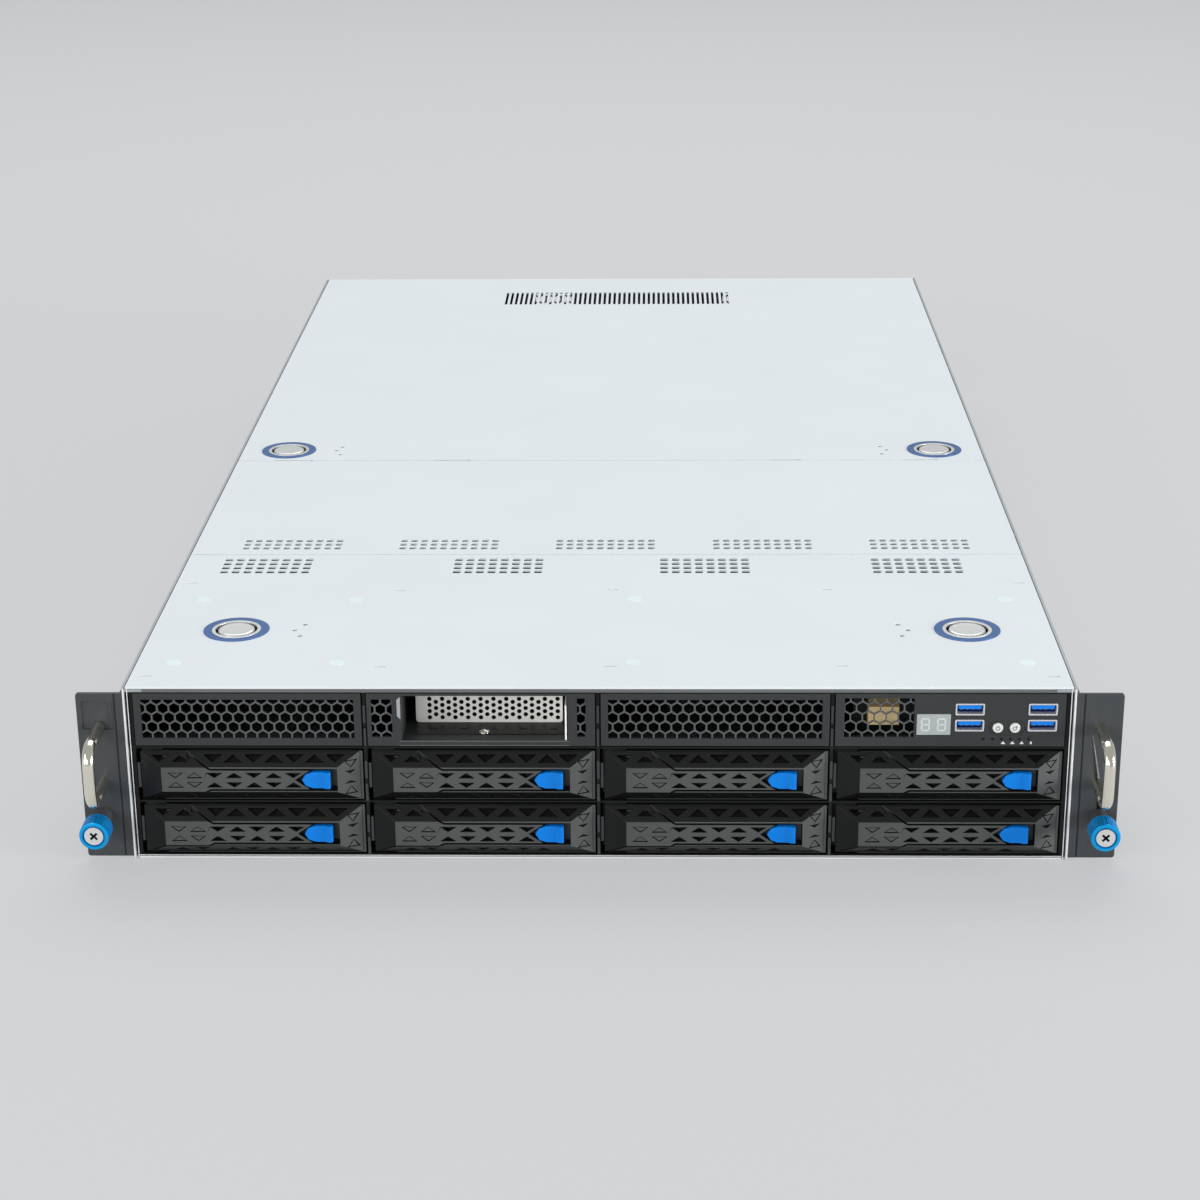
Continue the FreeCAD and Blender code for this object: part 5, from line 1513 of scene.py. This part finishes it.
def makePorts():
    values = portValues
    rear = boxOf("rear_ports")[1].y
    far, near = (rear - depth for depth in values["contactDepths"])
    for order, part in enumerate(looseParts(nodeCopy("rear_ports", "port")), 1):
        xs = [vertex.co.x / mm for vertex in part.data.vertices]
        zs = [vertex.co.z / mm for vertex in part.data.vertices]
        x, z = (min(xs) + max(xs)) / 2, (min(zs) + max(zs)) / 2
        soften(part, values["edge"])
        dress(rename(part, "rearPort%d" % order), "socket_steel", "chassis", "socket_steel", "rear_ports")
        wide = (values["contacts"] - 1) * values["pitch"]
        contact = block("portContacts%d" % order, span(x - wide / 2, values["contactWidth"]), (far, near),
                        [z + height for height in values["contactHeights"]])
        end = at(0, near - 0.1, 0).y
        bevelEdges(contact, values["contactBend"], 2,
                   lambda a, b: abs(a.x - b.x) > 0.3 * mm and min(a.y, b.y) > end)
        repeat(contact, (values["pitch"], 0, 0), values["contacts"])
        dress(contact, "contact_gold", "chassis", "bright_steel")
        lamps = [block("lamp", span(x + side * values["lampShift"], values["lamp"][0]),
                       [rear + depth for depth in values["lampDepths"]],
                       span(max(zs) - values["lampDrop"], values["lamp"][1])) for side in (-1, 1)]
        dress(soften(joined("portLamps%d" % order, lamps), values["lampEdge"]), "lamp_amber", "chassis",
              "socket_steel")


supplyValues = {
    "latchReach": 4.7,                # the supply's rear face, behind the front of its latch
    "edge": 0.2, "rise": 41.4, "sink": 1.5,
    "hole": 1.15, "holeDepth": 2.4, "step": 3.3,
    "fields": ((144.5, 12, 4.4, 2), (144.5, 12, 34.4, 2), (177.4, 3, 11.6, 6), (195.8, 3, 4.4, 11)),
    "inlet": ((148.0, 173.0), (11.0, 29.0)), "inletEase": 0.25, "inletStand": 0.35, "insert": 12.0, "inletEdge": 0.3,
    "mouth": (19.5, 13.0), "mouthDepth": 9.0, "mouthCorner": 4.2,
    "pins": ((-6.8, -1.6), (0.0, 2.6), (6.8, -1.6)), "pin": (2.2, 5.0), "pinDepths": (9.5, 1.6), "pinEdge": 0.5,
    "lamp": {"x": 201.0, "stand": 0.2, "drop": 4.4, "radius": 1.3, "length": 1.0, "edge": 0.35},
    "rib": {"depth": 0.45, "first": 3.2, "width": 0.9, "inset": 1.5, "step": 1.9, "count": 4}, "latchEdge": 0.35,
}


def makeInlet(rear, low):             # the mains inlet of the lower supply, and its three pins
    values = supplyValues
    (left, right), (bottom, upper) = values["inlet"]
    bottom, upper = low.z + bottom, low.z + upper
    x, z, ease = (left + right) / 2, (bottom + upper) / 2, values["inletEase"]
    insert = block("inletBody1", (left + ease, right - ease), (rear - values["insert"], rear + values["inletStand"]),
                   (bottom + ease, upper - ease))
    mouth = block("punch", span(x, values["mouth"][0]), (rear - values["mouthDepth"], rear + 2),
                  span(z, values["mouth"][1]))
    bevelEdges(mouth, values["mouthCorner"], 1, lambda a, b: abs(a.y - b.y) > mm and min(a.z, b.z) > z * mm)
    cut(insert, [mouth])
    soften(insert, values["inletEdge"])
    pins = joined("inletPins1", [block("pin", span(x + across, values["pin"][0]),
                                       [rear - depth for depth in values["pinDepths"]], span(z + up, values["pin"][1]))
                                 for across, up in values["pins"]])
    return wear(insert, "black_plastic"), wear(soften(pins, values["pinEdge"]), "bright_steel")


def makeSupply():                     # the lower supply, and a copy of each of its pieces for the upper one
    values, lampPlace, rib = supplyValues, supplyValues["lamp"], supplyValues["rib"]
    low, high = boxOf("power_supply_1")
    latchLow, latchHigh = boxOf("supply_latch_1")
    rear = latchLow.y + values["latchReach"]
    supply = nodeCopy("power_supply_1", "powerSupply1")
    punches = []
    for left, columns, bottom, rows in values["fields"]:
        punch = rod("punch", (left, rear, low.z - values["sink"] + bottom), values["hole"], values["holeDepth"], "Y",
                    sides=8)
        repeat(punch, (values["step"], 0, 0), columns)
        punches.append(repeat(punch, (0, 0, values["step"]), rows))
    # the holes' cut faces wear near-black, painted shade
    cut(wear(supply, "supply_steel"), punches, "deep_black")
    soften(supply, values["edge"], 2, 40)
    insert, pins = makeInlet(rear, low)
    lamp = rod("supplyLamp1", (lampPlace["x"], rear + lampPlace["stand"], high.z - lampPlace["drop"]),
               lampPlace["radius"], lampPlace["length"], "Y", sides=20)
    wear(soften(lamp, lampPlace["edge"], 3), "lamp_green")
    latch = nodeCopy("supply_latch_1", "supplyLatch1", None)
    ribs = block("punch", (latchLow.x - 1, latchLow.x + rib["depth"]), span(latchHigh.y - rib["first"], rib["width"]),
                 (latchLow.z + rib["inset"], latchHigh.z - rib["inset"]))
    repeat(ribs, (0, -rib["step"], 0), rib["count"])
    wear(soften(cut(latch, [ribs]), values["latchEdge"]), "blue_plastic")
    for piece, body, slot, stands in ((insert, "power_supply_", "black_plastic", False),
                                      (pins, "power_supply_", "bright_steel", False),
                                      (lamp, "power_supply_", "white_plastic", False),
                                      (supply, "power_supply_", "galvanised_steel", True),
                                      (latch, "supply_latch_", "blue_plastic", True)):
        other = copyTo(piece, piece.name[:-1] + "2", (0, 0, values["rise"]))
        for each, tag in ((other, "2"), (piece, "1")):
            fit(each, body + tag, slot, *([body + tag] if stands else []))


makeRearPanel()
makeBlanks()
makePorts()
makeSupply()
print("rear made")

# ---- inside: the fans, the heat sinks, and the springs in the gaps of the drive cage

innerValues = {"frameEdge": 0.6, "bladeEdge": 0.35, "sinkEdge": 0.2}
springValues = {"size": (1.3, 0.7, 9.0), "rows": (6.5, 18.0, 34.0, 45.5, 62.0, 73.5), "gaps": (-108.0, 0.0, 108.0),
                "drop": 4.5, "overlap": 0.1, "corner": 0.5, "edge": 0.25}


def makeFans():
    frames = soften(nodeCopy("fan_frames", "fanFrames", None), innerValues["frameEdge"], 2, 40)
    dress(frames, "fan_plastic", "chassis", "black_plastic", "fan_frames")
    rotor = wear(nodeCopy("fan_rotor_1", "fanRotor1", None), "fan_plastic")
    soften(rotor, innerValues["bladeEdge"], 2, 40)
    home = boxOf("fan_rotor_1")[0]
    for order in range(4, 0, -1):
        node = "fan_rotor_%d" % order
        piece = rotor if order == 1 else copyTo(rotor, "fanRotor%d" % order, boxOf(node)[0] - home)
        fit(piece, node, "fan_plastic", node)


def makeSinks():
    sinks = soften(nodeCopy("heatsinks", "heatSinks"), innerValues["sinkEdge"], 1, 40)
    dress(sinks, "cooling_metal", "chassis", "cooling_metal", "heatsinks")


def makeSprings():                    # contact springs on the cage's upright walls, beside the trays
    values = springValues
    wide, thick, tall = values["size"]
    front = boxOf("drive_cage")[0].y
    strips = [pill("spring", span(middle, wide), (front - thick, front + values["overlap"]),
                   span(height + tall / 2 - values["drop"], tall), values["corner"])
              for middle in values["gaps"] for height in values["rows"]]
    springs = soften(joined("cageSprings", strips), values["edge"])
    dress(springs, "charcoal_steel", "chassis", "black_steel")


makeFans()
makeSinks()
makeSprings()
print("inside made")
